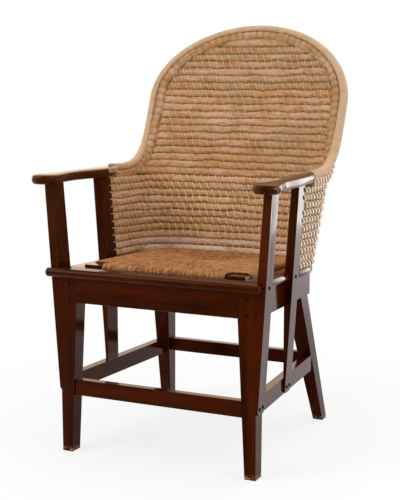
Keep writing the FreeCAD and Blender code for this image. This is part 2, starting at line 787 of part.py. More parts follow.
def nosing_shape():
    """The half-round strip along the board's front edge."""
    thick = size("board_thick")
    flat = size("nosing_depth") - thick / 2
    start = size("nosing_shift") - size("nosing_half")
    top = [Vector(start, 0, 0), Vector(start, -flat, 0)]
    low = [Vector(start, -flat, -thick), Vector(start, 0, -thick)]
    nose = Vector(start, -size("nosing_depth"), -thick / 2)
    profile = Part.Wire([Part.makeLine(*top), Part.Arc(top[1], nose, low[0]).toShape(), Part.makeLine(*low),
                         Part.makeLine(low[1], top[0])])
    return Part.Face(profile).extrude(Vector(2 * size("nosing_half"), 0, 0))


rear_post_left = mirrored("rear_post_left", rear_post)
front_post_left = mirrored("front_post_left", front_post)
board_tools = fuse("board_tools", [front_post, rear_post, front_post_left, rear_post_left, screws])
node(cut("seat_board", feature("board_blank", board_shape(), SEAT), board_tools), "seat_board")
node(feature("nosing", nosing_shape(), SEAT), "front_nosing")

# Drop-in seat: a wooden frame with two corner blocks, wrapped in rush
PAD_UNDER = size("pad_rest_gap") - size("board_thick")


def frame_shape():
    cover = size("frame_bar_cover")
    low = PAD_UNDER + cover
    rise = Vector(0, 0, size("frame_bar_height"))
    ring = Part.Face(pad_outline(cover, low)).extrude(rise)
    ring = ring.cut(Part.Face(pad_outline(cover + size("frame_bar_width"), low)).extrude(rise))
    height = size("block_rise") - PAD_UNDER
    for left in (-size("pad_half"), size("pad_half") - size("block_width")):
        corner = Vector(left, size("pad_front"), PAD_UNDER)
        ring = ring.fuse(Part.makeBox(size("block_width"), size("block_depth"), height, corner))
    return ring.removeSplitter()


def pad_shape():
    """The pad with its upper edge rounded."""
    rounding = min(size("pad_rise"), size("frame_bar_cover"))
    upper = [pad_outline(rounding * (1 - math.cos(turn)), size("pad_rise") - rounding * (1 - math.sin(turn)))
             for turn in TURNS]
    return Part.makeLoft([pad_outline(0.0, PAD_UNDER)] + upper, True, True)


seat_frame = feature("seat_frame", frame_shape(), SEAT)
node(seat_frame, "seat_frame")
block_clear = size("pad_half") - size("block_width")
notches = [Part.makeBox(size("block_width"), size("block_depth"), 2 * size("board_thick"),
                        Vector(left, size("pad_front"), -size("board_thick")))
           for left in (-size("pad_half"), block_clear)]
notch_tools = feature("block_notches", Part.makeCompound(notches), SEAT)
rush_tools = fuse("rush_tools", [seat_frame, notch_tools])
node(cut("rush_seat", feature("pad_blank", pad_shape(), SEAT), rush_tools), "rush_seat")

# Cleats inside the rails, which the drop-in seat rests on
CLEAT_LOW = "sizes.board_under - sizes.cleat_height"
front_cleat_end = "(sizes.pad_front + sizes.cleat_bearing)"
front_cleat = crosswise("front_cleat_bar", LEG_INNER, behind("sizes.rail_thick"),
                        f"{front_cleat_end} - sizes.rail_thick", CLEAT_LOW, "sizes.cleat_height")
document.recompute()
node(cut("front_cleat", front_cleat, above_board), "front_seat_cleat")
cleat_inner = "sizes.pad_half - sizes.cleat_bearing"


def cleat_end(reach):
    drop = f"sizes.fall * ({reach})"
    return (cleat_inner, f"{side(reach)} - sizes.rail_thick", f"{CLEAT_LOW} - {drop}", "sizes.board_under")


side_cleat = lengthwise("side_cleat_bar", behind(front_cleat_end), behind("sizes.rear_leg_reach"),
                        cleat_end(front_cleat_end), cleat_end("sizes.rear_leg_reach"))
document.recompute()
side_cleat_trim = cut("side_cleat_trim", side_cleat, above_board)
both_sides("side_seat_cleat", cut("side_cleat", side_cleat_trim, rear_blank))

document.recompute()
for item in document.Objects:
    if "Invalid" in item.State or "Error" in item.State:
        raise RuntimeError(f"{item.Name} failed: {item.State}")
for item in NODES:
    if item.Shape.isNull() or not item.Shape.isValid() or not item.Shape.Solids:
        raise RuntimeError(f"{item.Label} has no valid solid")

os.makedirs("parts", exist_ok=True)
for item in NODES:
    item.Shape.exportStep(f"parts/{item.Label}.step")
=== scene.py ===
"""The looks of a straw-backed armchair: dark wood, stitched straw courses, a bound rim and a rush seat."""
import math
import random

import bpy
from mathutils import Matrix, Vector


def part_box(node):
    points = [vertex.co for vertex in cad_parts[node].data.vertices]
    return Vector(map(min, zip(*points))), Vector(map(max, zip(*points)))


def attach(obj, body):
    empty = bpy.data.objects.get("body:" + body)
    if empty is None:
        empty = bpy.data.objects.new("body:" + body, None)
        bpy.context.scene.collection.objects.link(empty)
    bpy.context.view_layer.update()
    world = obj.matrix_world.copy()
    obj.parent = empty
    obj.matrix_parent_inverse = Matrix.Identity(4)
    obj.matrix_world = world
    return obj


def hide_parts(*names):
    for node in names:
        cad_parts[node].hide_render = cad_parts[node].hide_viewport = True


bl_info = {
    "name": "Straw-backed armchair",
    "version": (1, 0, 0),
    "blender": (4, 5, 0),
    "location": "3D View > Sidebar > Straw chair",
    "description": "Dresses the frame of a straw-backed armchair",
    "category": "Object",
}

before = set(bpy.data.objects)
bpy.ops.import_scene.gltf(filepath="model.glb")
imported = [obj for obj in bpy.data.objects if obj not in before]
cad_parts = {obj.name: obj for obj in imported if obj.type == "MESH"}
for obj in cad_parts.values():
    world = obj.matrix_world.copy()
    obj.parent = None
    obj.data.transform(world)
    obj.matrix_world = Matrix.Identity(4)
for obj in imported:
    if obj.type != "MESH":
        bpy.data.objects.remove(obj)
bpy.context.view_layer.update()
CHAIR = "chair_frame"
LOOSE_SEAT = "drop_in_seat"
MM = 0.001

# The chair's own sizes, in millimetres, as in the part's source
SEAT_HEIGHT = 430.0
SLOPE = math.radians(2.0)
COS, SIN = math.cos(SLOPE), math.sin(SLOPE)
TOE = math.tan(math.radians(3.7))
SIDE_HALF = 242.0
LEG_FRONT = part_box("front_leg_left")[0].y / MM
POST_THICK, POST_DEPTH, POST_FLARE = 18.5, 45.0, 34.0
POST_LOW, POST_LOW_THICK = 142.0, 4.0
REAR_POST_REACH = 190.0
REAR_POST_END = REAR_POST_REACH + POST_DEPTH
ARM_HEIGHT, ARM_REACH, ARM_THICK = 620.0, 268.0, 21.0
ARM_RISE = ARM_HEIGHT - SEAT_HEIGHT
BOARD_THICK = 21.0
STRAW_HALF = 10.0
BACK_REACH, BACK_LEAN, BACK_RADIUS = 435.0, 0.229, 850.0
CORNER_RADIUS = 115.0
COURSES_LOW, COURSES_HIGH = 11, 19
COURSES = COURSES_LOW + COURSES_HIGH
RIM_RISE, RIM_RUN_HALF = 19.0, 257.0
SHOULDER_REACH, SHOULDER_RISE = 300.0, 168.0
SHOULDER_PUSH, SHOULDER_PULL = 110.0, 146.0
SHOULDER_LEAN = Vector((0.0, 0.36, 1.0)).normalized()
SHOULDER_START = 0.04
ARCH_HALF, ARCH_RISE = 261.0, 183.0
RIM_WIDTH, RIM_THICK = 14.0, 22.0
COIL_WIDTH, COIL_THICK, COIL_GAP = 18.0, 20.0, 0.5
CROWN_GAP, RIM_END_GAP = 4.0, 0.4
RIM_RUN = (ARM_RISE + RIM_RISE) * COS + ARM_REACH * SIN
ARCH_SPRING = RIM_RUN + SHOULDER_RISE
LOW_PITCH = (RIM_RUN - RIM_WIDTH / 2 - COIL_WIDTH) / COURSES_LOW
LOW_TOP = LOW_PITCH * COURSES_LOW
COURSE_INSET = RIM_WIDTH / 2 + COIL_WIDTH + COIL_GAP
HIGH_PITCH = (ARCH_SPRING + ARCH_RISE - COURSE_INSET - CROWN_GAP - LOW_TOP) / COURSES_HIGH
PAD_HALF, PAD_FRONT, PAD_REAR, PAD_CORNER, PAD_RISE = 199.0, 39.0, 413.0, 95.0, 9.0
PAD_UNDER = -20.7
BLOCK_WIDTH, BLOCK_DEPTH = 45.0, 40.0


def sizes():
    return bpy.context.scene.straw_chair_sizes


def colours():
    return bpy.context.scene.straw_chair_colours


def length_property(name, description, default):
    return bpy.props.FloatProperty(name=name, description=description, default=default, unit="LENGTH")


def colour_property(name, default):
    return bpy.props.FloatVectorProperty(
        name=name, description=f"Colour of the {name.lower()}", default=default, subtype="COLOR", size=3)


class StrawChairSizes(bpy.types.PropertyGroup):
    stitch_pitch: length_property("Stitch pitch", "Distance between stitches along a course", 0.0192)
    twine_width: length_property("Twine width", "Thickness of the stitching twine", 0.0027)
    cord_width: length_property("Rush cord width", "Thickness of a rush cord", 0.0043)
    wood_edge: length_property("Wood edge", "Softening of the frame's edges", 0.0016)


class StrawChairColours(bpy.types.PropertyGroup):
    wood_deep: colour_property("Deep wood", (0.011, 0.0014, 0.0002))
    wood_warm: colour_property("Warm wood", (0.066, 0.0085, 0.0008))
    wood_faded: colour_property("Faded wood", (0.072, 0.0165, 0.0032))
    wood_worn: colour_property("Worn wood", (0.42, 0.26, 0.13))
    straw_gold: colour_property("Golden straw", (0.50, 0.25, 0.085))
    straw_rose: colour_property("Rosy straw", (0.61, 0.36, 0.215))
    straw_grey: colour_property("Grey straw", (0.40, 0.26, 0.115))
    straw_brown: colour_property("Brown straw", (0.43, 0.175, 0.045))
    straw_pale: colour_property("Bleached straw", (0.74, 0.53, 0.38))
    # Painted shade: the straw's colour in the grooves between courses, on the courses' outside and in the
    # coil's creases; the rim's dark seams use it too.
    straw_shade_and_seams: colour_property("Straw in the grooves", (0.15, 0.058, 0.016))
    twine: colour_property("Twine", (0.62, 0.41, 0.24))
    # Painted light: the twine of the lower courses and the twine outside are lighter copies of the twine.
    lit_low_twine: colour_property("Twine of the lower courses", (0.72, 0.54, 0.35))
    lit_loop_twine: colour_property("Twine outside", (0.97, 0.84, 0.68))
    # Painted shade: the coil's twine is a darker copy of the twine.
    shaded_coil_twine: colour_property("Twine round the coil", (0.55, 0.32, 0.15))
    binding: colour_property("Rim binding", (0.60, 0.40, 0.24))
    rush: colour_property("Rush", (0.43, 0.188, 0.058))
    rush_deep: colour_property("Rush in the shade", (0.13, 0.046, 0.012))
    screw: colour_property("Screw heads", (0.018, 0.012, 0.009))


# Materials, with the sockets of a colour Mix node
MIX_SHARE, MIX_FIRST, MIX_SECOND, MIX_RESULT = 0, 6, 7, 2


def maths_with(operation):
    """A method that puts a value, and another one if there is one, through a Math node."""
    def method(self, *others):
        return self.maths(operation, self, *others)
    return method


class Signal:
    """One value in a finish. Arithmetic on it adds Math nodes."""

    def __init__(self, finish, socket):
        self.finish = finish
        self.socket = socket

    def maths(self, operation, *terms):
        return self.finish.node("ShaderNodeMath", {"operation": operation}, dict(enumerate(terms)))

    __add__ = __radd__ = maths_with("ADD")
    __mul__ = __rmul__ = maths_with("MULTIPLY")
    __sub__ = maths_with("SUBTRACT")
    sine = maths_with("SINE")

    def __rsub__(self, other):
        return self.maths("SUBTRACT", other, self)

    def between(self, low, high):
        """0 below low, 1 above high, smooth between."""
        inputs = {"Value": self, "From Min": low, "From Max": high}
        return self.finish.node("ShaderNodeMapRange", {"interpolation_type": "SMOOTHSTEP"}, inputs)


class Finish:
    """A node material in the making."""

    def __init__(self, name):
        self.material = bpy.data.materials.new(name)
        self.material.use_nodes = True
        self.tree = self.material.node_tree
        self.shader = self.tree.nodes["Principled BSDF"]

    def feed(self, socket, value):
        if isinstance(value, Signal):
            self.tree.links.new(value.socket, socket)
        else:
            socket.default_value = value

    def node(self, kind, settings=None, inputs=None, output=0):
        made = self.tree.nodes.new(kind)
        for name, setting in (settings or {}).items():
            setattr(made, name, setting)
        for key, value in (inputs or {}).items():
            self.feed(made.inputs[key], value)
        return Signal(self, made.outputs[output])

    def vector(self, *terms):
        return self.node("ShaderNodeCombineXYZ", None, dict(enumerate(terms)))

    def vector_maths(self, operation, *terms, output=0):
        return self.node("ShaderNodeVectorMath", {"operation": operation}, dict(enumerate(terms)), output)

    def noise(self, vector, scale=1.0, detail=3.0, roughness=0.55, stretch=None):
        """Noise at a place, which may be stretched first by a factor for each axis."""
        place = self.vector_maths("MULTIPLY", vector, stretch) if stretch else vector
        inputs = {"Vector": place, "Scale": scale, "Detail": detail, "Roughness": roughness}
        return self.node("ShaderNodeTexNoise", None, inputs)

    def blend(self, share, first, second, kind="MIX"):
        inputs = {MIX_SHARE: share, MIX_FIRST: opaque(first), MIX_SECOND: opaque(second)}
        return self.node("ShaderNodeMix", {"data_type": "RGBA", "blend_type": kind}, inputs, MIX_RESULT)

    def shade(self, colour, amount):
        """A colour times a value."""
        grey = self.node("ShaderNodeCombineColor", None, {0: amount, 1: amount, 2: amount})
        return self.blend(1.0, colour, grey, "MULTIPLY")

    def object_coords(self):
        return self.node("ShaderNodeTexCoord", None, None, "Object")

    def uv(self):
        return self.node("ShaderNodeUVMap")

    def parts_of(self, vector):
        split = self.tree.nodes.new("ShaderNodeSeparateXYZ")
        self.feed(split.inputs[0], vector)
        return [Signal(self, socket) for socket in split.outputs]

    def attribute(self, name):
        return self.node("ShaderNodeAttribute", {"attribute_name": name}, None, "Fac")

    def bump(self, height, distance, strength=1.0):
        inputs = {"Height": height, "Distance": distance, "Strength": strength}
        self.feed(self.shader.inputs["Normal"], self.node("ShaderNodeBump", None, inputs))

    def surface(self, **values):
        for name, value in values.items():
            self.feed(self.shader.inputs[name.replace("_", " ")], value)
        return self.material


def opaque(colour):
    if isinstance(colour, Signal):
        return colour
    return (*colour, 1.0)


# In a finish, a pair says where a tone begins and where it is full, and a part how much it counts
FINE_DETAIL, FULL_DETAIL = 2.0, 4.0
GRAIN_ALONG, GRAIN_ACROSS, GRAIN_DETAIL, GRAIN_ROUGHNESS = 2.2, 34.0, 5.0, 0.6
PORE_ALONG, PORE_ACROSS, CLOUD_SCALE = 9.0, 420.0, 9.0
FIGURE_PART, CLOUD_PART, PORE_PART = 0.75, 0.35, 0.35
PORES, WARMTH, FADED_HEIGHTS = (0.55, 0.75), (0.25, 0.85), (0.40, 0.50)
CHIP_SCALE, CHIPS = 260.0, (0.50, 0.60)
SCUFF_SCALE, SCUFFS, SCUFF_PART = 75.0, (0.72, 0.78), 0.3
# A pale patch at the right arm's outer front corner.
PALE_CORNER, PALE_CORNER_REACH = (0.2965, (LEG_FRONT - 22.0) * MM, 0.634), (0.003, 0.011)
WORN_FEET = (0.003, 0.014)
FIGURE_RELIEF, PORE_RELIEF, WOOD_RELIEF, WOOD_RELIEF_PART = 0.3, (0.5, 0.8), 0.00025, 0.18
VARNISH, VARNISH_TINT = 0.32, (0.34, 0.09, 0.015, 1.0)
GLOSS, GLOSS_CLOUDS, GLOSS_PORES = 0.05, 0.09, 0.04


def wood_finish(name, axis, glow=1.0):
    """Dark red-brown stained wood under a worn satin varnish, its grain along an axis (0 x, 1 y, 2 z)."""
    finish = Finish(name)
    tint = colours()
    spot = finish.object_coords()
    grain = [GRAIN_ALONG if index == axis else GRAIN_ACROSS for index in range(3)]
    pores = [PORE_ALONG if index == axis else PORE_ACROSS for index in range(3)]
    figure = finish.noise(spot, 1.0, GRAIN_DETAIL, GRAIN_ROUGHNESS, grain)
    pore = finish.noise(spot, detail=FINE_DETAIL, stretch=pores)
    cloud = finish.noise(spot, CLOUD_SCALE)
    warmth = figure * FIGURE_PART + cloud * CLOUD_PART - pore.between(*PORES) * PORE_PART
    height = finish.parts_of(spot)[2]
    warm = finish.blend(height.between(*FADED_HEIGHTS), tint.wood_warm, tint.wood_faded)
    colour = finish.blend(warmth.between(*WARMTH) * glow, tint.wood_deep, warm)
    chips = finish.noise(spot, CHIP_SCALE, FINE_DETAIL).between(*CHIPS)
    scuffs = finish.noise(spot, SCUFF_SCALE, FULL_DETAIL).between(*SCUFFS) * SCUFF_PART
    # The wood is paled in chips near the right arm's outer front corner.
    away = finish.vector_maths("DISTANCE", spot, PALE_CORNER, output="Value")
    pale_corner = chips * (1.0 - away.between(*PALE_CORNER_REACH))
    worn = chips * (1.0 - height.between(*WORN_FEET)) + scuffs + pale_corner
    finish.bump(figure * FIGURE_RELIEF - pore.between(*PORE_RELIEF), WOOD_RELIEF, WOOD_RELIEF_PART)
    return finish.surface(
        Base_Color=finish.blend(worn, colour, tint.wood_worn), Specular_IOR_Level=VARNISH,
        Specular_Tint=VARNISH_TINT, Roughness=GLOSS + cloud * GLOSS_CLOUDS + pore * GLOSS_PORES)


# Patches of straw are given as a count per metre, a count across and a lot
FIBRE_SCALE, FIBRE_ROUGHNESS, REED_SCALE = (14.0, 900.0, 1.0), 0.6, (30.0, 260.0, 1.0)
FIELD_SCALE, FADE_SCALE, TONE_SPREAD = (5.0, 5.0, 13.0), 1.7, 90.0
BLUSH_PATCHES, BLUSH, BLUSH_PART = (16.0, 70.0, 0.0), (0.40, 0.60), 0.5
FADE_PATCHES, FADE, FADE_PART = (19.0, 90.0, 5.0), (0.47, 0.65), 0.6
BROWN_PATCHES, BROWN = (24.0, 120.0, 11.0), (0.47, 0.66)
BLEACH_PATCHES, BLEACH, BLEACHED_HEIGHTS = (14.0, 40.0, 31.0), (0.38, 0.60), (0.432, 0.472)
# Painted shade: the straw turns darker towards the top, between the last pair of heights on the next line,
# by the last part on the line after it.
GROOVE_PATCHES, GROOVES, TOP_SHADE_HEIGHTS = (45.0, 15.0, 23.0), (0.25, 0.6), (0.45, 0.95)
STRAW_LEVEL, TONE_PART, STALK_PART, REED_PART, TOP_SHADE_PART = 0.30, 0.15, 0.66, 0.64, 0.20
STALK_RELIEF, REED_RELIEF, STRAW_RELIEF = 0.6, 0.9, 0.0020
STRAW_SHINE, STRAW_DULL, STALK_DULL = 0.38, 0.45, 0.25


def straw_finish(name):
    """Bundled straw: long fine stalks in patches of several tones, with uneven painted shade where the
    courses meet and on their outside, and painted shade towards the top.
    """
    finish = Finish(name)
    tint = colours()
    uv = finish.uv()
    along, around = finish.parts_of(uv)[:2]
    tone = finish.attribute("tone")

    def patches(per_metre, across, lot):
        """Uneven patches along a course; each course and each lot has its own."""
        return finish.noise(finish.vector(along * per_metre, around * across, tone * TONE_SPREAD + lot))

    def field(scale):
        return finish.noise(finish.object_coords(), scale, FINE_DETAIL, stretch=FIELD_SCALE)

    stalks = finish.noise(uv, roughness=FIBRE_ROUGHNESS, stretch=FIBRE_SCALE)
    reeds = finish.noise(uv, detail=FINE_DETAIL, stretch=REED_SCALE)
    blush = field(1.0) * (1.0 - BLUSH_PART) + patches(*BLUSH_PATCHES) * BLUSH_PART
    fade = field(FADE_SCALE) * (1.0 - FADE_PART) + patches(*FADE_PATCHES) * FADE_PART
    rosy = finish.blend(blush.between(*BLUSH), tint.straw_gold, tint.straw_rose)
    greyed = finish.blend(fade.between(*FADE), rosy, tint.straw_grey)
    mixed = finish.blend(patches(*BROWN_PATCHES).between(*BROWN), greyed, tint.straw_brown)
    height = finish.parts_of(finish.object_coords())[2]
    bleach = (1.0 - height.between(*BLEACHED_HEIGHTS)) * patches(*BLEACH_PATCHES).between(*BLEACH)
    faded = finish.blend(bleach, mixed, tint.straw_pale)
    bright = STRAW_LEVEL + tone * TONE_PART + stalks * STALK_PART + reeds * REED_PART
    # Painted shade: darker towards the top.
    streaked = finish.shade(faded, bright - height.between(*TOP_SHADE_HEIGHTS) * TOP_SHADE_PART)
    # Painted shade: the groove values darken the straw, in patches, between courses and on the outside
    # between the loops.
    depth = finish.attribute("groove") * patches(*GROOVE_PATCHES).between(*GROOVES)
    finish.bump(stalks * STALK_RELIEF + reeds * REED_RELIEF, STRAW_RELIEF)
    return finish.surface(Base_Color=finish.blend(depth, streaked, tint.straw_shade_and_seams),
                          Specular_IOR_Level=STRAW_SHINE, Roughness=STRAW_DULL + stalks * STALK_DULL)


TWINE_TWIST, TWINE_STRANDS, TWINE_ROUND, TWINE_SPOTS = 420.0, 2, 0.008, 55.0
TWINE_LEVEL, STRAND_PART, SPOT_PART = 0.66, 0.16, 0.38
# Painted shade on the sides of a loop, in a brown.
TWINE_SIDE_SHADE, TWINE_SIDE_SHADE_PART = (0.55, 1.0), 0.5
TWINE_RELIEF, TWINE_RELIEF_PART, TWINE_SHINE, TWINE_DULL = 0.0005, 0.7, 0.2, 0.8


def twine_finish(name, colour):
    """Twisted twine, its strands running slantwise round it, with painted shade in brown on the sides of a
    loop.
    """
    finish = Finish(name)
    along, around = finish.parts_of(finish.uv())[:2]
    twist = along * (TWINE_TWIST * 2 * math.pi) + around * (TWINE_STRANDS * 2 * math.pi / TWINE_ROUND)
    strands = (twist.sine() + 1.0) * 0.5
    spots = finish.noise(finish.object_coords(), TWINE_SPOTS)
    shaded = finish.shade(colour, TWINE_LEVEL + strands * STRAND_PART + spots * SPOT_PART)
    # Painted shade: a loop's sides, where the groove value is high, are blended towards brown straw.
    edge = finish.attribute("groove").between(*TWINE_SIDE_SHADE) * TWINE_SIDE_SHADE_PART
    finish.bump(strands, TWINE_RELIEF, TWINE_RELIEF_PART)
    return finish.surface(Base_Color=finish.blend(edge, shaded, colours().straw_brown),
                          Specular_IOR_Level=TWINE_SHINE, Roughness=TWINE_DULL)


BRAID_LENGTH, BRAID_WIDTH = 0.0052, 0.0069
BRAID_SPOTS, BRAID_FIBRES = (40.0, 60.0, 1.0), (600.0, 600.0, 1.0)
BRAID_LEVEL, BRAID_PART, BRAID_SPOT_PART, FIBRE_PART = 0.28, 0.66, 0.44, 0.30
FIBRE_RELIEF, BRAID_RELIEF, BRAID_RELIEF_PART, BRAID_DULL = 0.4, 0.0012, 0.9, 0.75


def binding_finish():
    """Twine braided closely round the rim, with thin dark seams where a length was tied off."""
    finish = Finish("rim_binding")
    tint = colours()
    uv = finish.uv()
    along, around = finish.parts_of(uv)[:2]
    lengthwise = along * (2 * math.pi / BRAID_LENGTH)
    crosswise = around * (2 * math.pi / BRAID_WIDTH)
    braid = ((lengthwise + crosswise).sine() * (lengthwise - crosswise).sine() + 1.0) * 0.5
    spots = finish.noise(uv, detail=FULL_DETAIL, stretch=BRAID_SPOTS)
    fibres = finish.noise(uv, detail=FINE_DETAIL, stretch=BRAID_FIBRES)
    bright = BRAID_LEVEL + braid * BRAID_PART + spots * BRAID_SPOT_PART + fibres * FIBRE_PART
    finish.bump(braid + fibres * FIBRE_RELIEF, BRAID_RELIEF, BRAID_RELIEF_PART)
    colour = finish.blend(finish.attribute("groove"), finish.shade(tint.binding, bright), tint.straw_shade_and_seams)
    return finish.surface(Base_Color=colour, Specular_IOR_Level=TWINE_SHINE, Roughness=BRAID_DULL)


LEAVES_ALONG, LEAVES_ACROSS, LEAVES_APART = 60.0, 420.0, 70.0
DULL_ALONG, DULL_APART, DULL, DULL_PART = 34.0, 90.0, (0.40, 0.62), 0.62
RUSH_TWIST, RUSH_ROUND = 780.0, 0.0135
SPECKLE_SCALE, SPECKLE, SPECKLE_PART = 300.0, (0.40, 0.62), 0.28
# Painted shade on the sides of each cord, where cords meet.
CORD_GAP_SHADE, CORD_GAP_SHADE_PART = (0.55, 0.95), 0.8
RUSH_LEVEL, RUSH_TWIST_PART, LEAVES_PART = 0.66, 0.42, 0.60
CORD_RELIEF_PART, CORD_RELIEF, RUSH_SHINE, RUSH_DULL = 0.7, 0.0014, 0.3, 0.55


def rush_finish():
    """Twisted rush cords in varying golden browns, with painted shade on the sides where cords meet."""
    finish = Finish("rush_cord")
    tint = colours()
    along, around = finish.parts_of(finish.uv())[:2]
    tone = finish.attribute("tone")
    leaves = finish.noise(finish.vector(along * LEAVES_ALONG, around * LEAVES_ACROSS, tone * LEAVES_APART))
    lengths = finish.vector(along * DULL_ALONG, tone * DULL_APART, 0.0)
    dull = finish.noise(lengths, detail=FINE_DETAIL).between(*DULL)
    twist = ((along * RUSH_TWIST + around * (2 * math.pi / RUSH_ROUND)).sine() + 1.0) * 0.5
    speckle = finish.noise(finish.object_coords(), SPECKLE_SCALE, FINE_DETAIL).between(*SPECKLE)
    # Painted shade: the cords' sides are blended towards the shade colour.
    gap_shade = finish.attribute("groove").between(*CORD_GAP_SHADE)
    golden = finish.blend(dull * DULL_PART + speckle * SPECKLE_PART, tint.rush, tint.rush_deep)
    shaded = finish.shade(golden, RUSH_LEVEL + twist * RUSH_TWIST_PART + leaves * LEAVES_PART)
    finish.bump(twist * CORD_RELIEF_PART + leaves * CORD_RELIEF_PART, CORD_RELIEF)
    return finish.surface(Base_Color=finish.blend(gap_shade * CORD_GAP_SHADE_PART, shaded, tint.rush_deep),
                          Specular_IOR_Level=RUSH_SHINE, Roughness=RUSH_DULL)


STAIN_SCALE, STAIN_LEVEL, STAIN_RELIEF, STAIN_RELIEF_PART = 420.0, 0.5, 0.0002, 0.4
STEEL_DULL, STAIN_DULL = 0.45, 0.25


def screw_finish():
    finish = Finish("screw_steel")
    stain = finish.noise(finish.object_coords(), STAIN_SCALE)
    finish.bump(stain, STAIN_RELIEF, STAIN_RELIEF_PART)
    return finish.surface(Base_Color=finish.shade(colours().screw, STAIN_LEVEL + stain), Metallic=1.0,
                          Roughness=STEEL_DULL + stain * STAIN_DULL)


# The back's lines, in the seat's own frame
CURVE_STEPS, HALVINGS = 24, 30
PANEL_SHARE = 0.6


def place(point):
    """A point of the seat's frame, in millimetres, as a point of the chair in metres."""
    x, y, z = point
    return Vector((x, LEG_FRONT + y * COS + z * SIN, SEAT_HEIGHT - y * SIN + z * COS)) * MM


def back_y(x, height):
    return BACK_REACH + BACK_LEAN * height - BACK_RADIUS + math.sqrt(BACK_RADIUS ** 2 - x ** 2)


def seat_y(reach, height):
    return (reach - height * SIN) / COS


def post_middle_x(height):
    inner = SIDE_HALF - TOE * REAR_POST_END
    return inner + POST_THICK / 2 + (POST_FLARE - POST_THICK) * height / ARM_RISE


def heading(vector):
    return math.atan2(vector.y, vector.x)


def arc_points(centre, radius, first, last):
    turns = [first + (last - first) * step / CURVE_STEPS for step in range(CURVE_STEPS + 1)]
    return [centre + Vector((math.cos(turn), math.sin(turn), 0.0)) * radius for turn in turns]


def both_halves(half):
    return half + [Vector((-point.x, point.y, point.z)) for point in reversed(half[:-1])]


def wrap_line(height):
    """A low course's middle, from the right rear post round the back to the left one."""
    side_x = post_middle_x(height)
    panel = Vector((0.0, back_y(0.0, height) - BACK_RADIUS, height))
    corner_x = side_x - CORNER_RADIUS
    centre = panel + Vector((corner_x, math.sqrt((BACK_RADIUS - CORNER_RADIUS) ** 2 - corner_x ** 2), 0.0))
    bend = heading(centre - panel)
    front = [Vector((side_x, seat_y(REAR_POST_END, height), height))]
    corner = arc_points(centre, CORNER_RADIUS, 0.0, bend)
    across = arc_points(panel, BACK_RADIUS, bend, math.pi / 2)
    return both_halves(front + corner + across[1:])


def border_control(inset):
    run = Vector((RIM_RUN_HALF, SHOULDER_REACH, RIM_RUN - inset))
    spring_x = ARCH_HALF - inset
    spring = Vector((spring_x, back_y(spring_x, ARCH_SPRING), ARCH_SPRING))
    pushed = run + Vector((0.0, SHOULDER_PUSH + inset, 0.0))
    return [run, pushed, spring - SHOULDER_LEAN * SHOULDER_PULL, spring]


def shoulder_point(inset, share):
    rest = 1.0 - share
    weights = (rest ** 3, 3 * rest ** 2 * share, 3 * rest * share ** 2, share ** 3)
    total = Vector()
    for weight, point in zip(weights, border_control(inset)):
        total = total + point * weight
    return total


def arch_point(inset, turn):
    x = (ARCH_HALF - inset) * math.cos(turn)
    height = ARCH_SPRING + (ARCH_RISE - inset) * math.sin(turn)
    return Vector((x, back_y(x, height), height))


def border_line(inset):
    """A line of the border from the right arm over the crown to the left arm."""
    start = border_control(inset)[0]
    first = Vector((start.x, seat_y(ARM_REACH + RIM_END_GAP, start.z), start.z))
    shoulder = [shoulder_point(inset, step / CURVE_STEPS) for step in range(CURVE_STEPS)]
    arch = [arch_point(inset, math.pi / 2 * step / CURVE_STEPS) for step in range(CURVE_STEPS + 1)]
    return both_halves([first] + shoulder + arch)


def course_end(height):
    """Where a high course ends against the coil."""
    if height >= ARCH_SPRING:
        rise = (height - ARCH_SPRING) / (ARCH_RISE - COURSE_INSET)
        return arch_point(COURSE_INSET, math.asin(min(1.0, rise)))
    low, high = SHOULDER_START, 1.0
    for _ in range(HALVINGS):
        middle = (low + high) / 2
        if shoulder_point(COURSE_INSET, middle).z < height:
            low = middle
        else:
            high = middle
    end = shoulder_point(COURSE_INSET, high)
    return Vector((end.x, end.y, height))


def panel_line(height):
    """A high course's middle: the panel's arc with a tangent arc at each end."""
    end = course_end(height)
    join_x = PANEL_SHARE * end.x
    join = Vector((join_x, back_y(join_x, height), height))
    panel = Vector((0.0, back_y(0.0, height) - BACK_RADIUS, height))
    outward = join - panel
    chord = join - end
    radius = chord.dot(chord) * BACK_RADIUS / (2 * chord.dot(outward))
    centre = join - outward * (radius / BACK_RADIUS)
    bend = heading(outward)
    tail = arc_points(centre, radius, heading(end - centre), bend)
    across = arc_points(panel, BACK_RADIUS, bend, math.pi / 2)
    return both_halves(tail + across[1:])


def last_before(count, before):
    """The last of several steps, save the very last, that still lies before a place, or else the first."""
    low, high = 0, count - 1
    while high - low > 1:
        middle = (low + high) // 2
        if before(middle):
            low = middle
        else:
            high = middle
    return low


class Line:
    """A polyline that can be read at any distance along it."""

    def __init__(self, points):
        self.points = points
        self.marks = [0.0]
        for first, second in zip(points, points[1:]):
            self.marks.append(self.marks[-1] + (second - first).length)
        self.length = self.marks[-1]

    def at(self, distance):
        distance = min(max(distance, 0.0), self.length)
        low = last_before(len(self.marks), lambda index: self.marks[index] <= distance)
        span = self.marks[low + 1] - self.marks[low]
        share = (distance - self.marks[low]) / span if span else 0.0
        return self.points[low].lerp(self.points[low + 1], share)

    def level_with(self, x):
        """The point with a given x, or else the nearer end, on a line that runs from right to left."""
        low = last_before(len(self.points), lambda index: self.points[index].x >= x)
        first, second = self.points[low], self.points[low + 1]
        return first.lerp(second, min(1.0, max(0.0, (first.x - x) / (first.x - second.x))))

    def nearest(self, point):
        """The point of the line that lies nearest to a given one."""
        found = self.points[0]
        for first, second in zip(self.points, self.points[1:]):
            way = second - first
            spot = first + way * min(1.0, max(0.0, (point - first).dot(way) / way.dot(way)))
            if (spot - point).length < (found - point).length:
                found = spot
        return found

    def along(self, distance, reach=2.0):
        return (self.at(distance + reach) - self.at(distance - reach)).normalized()


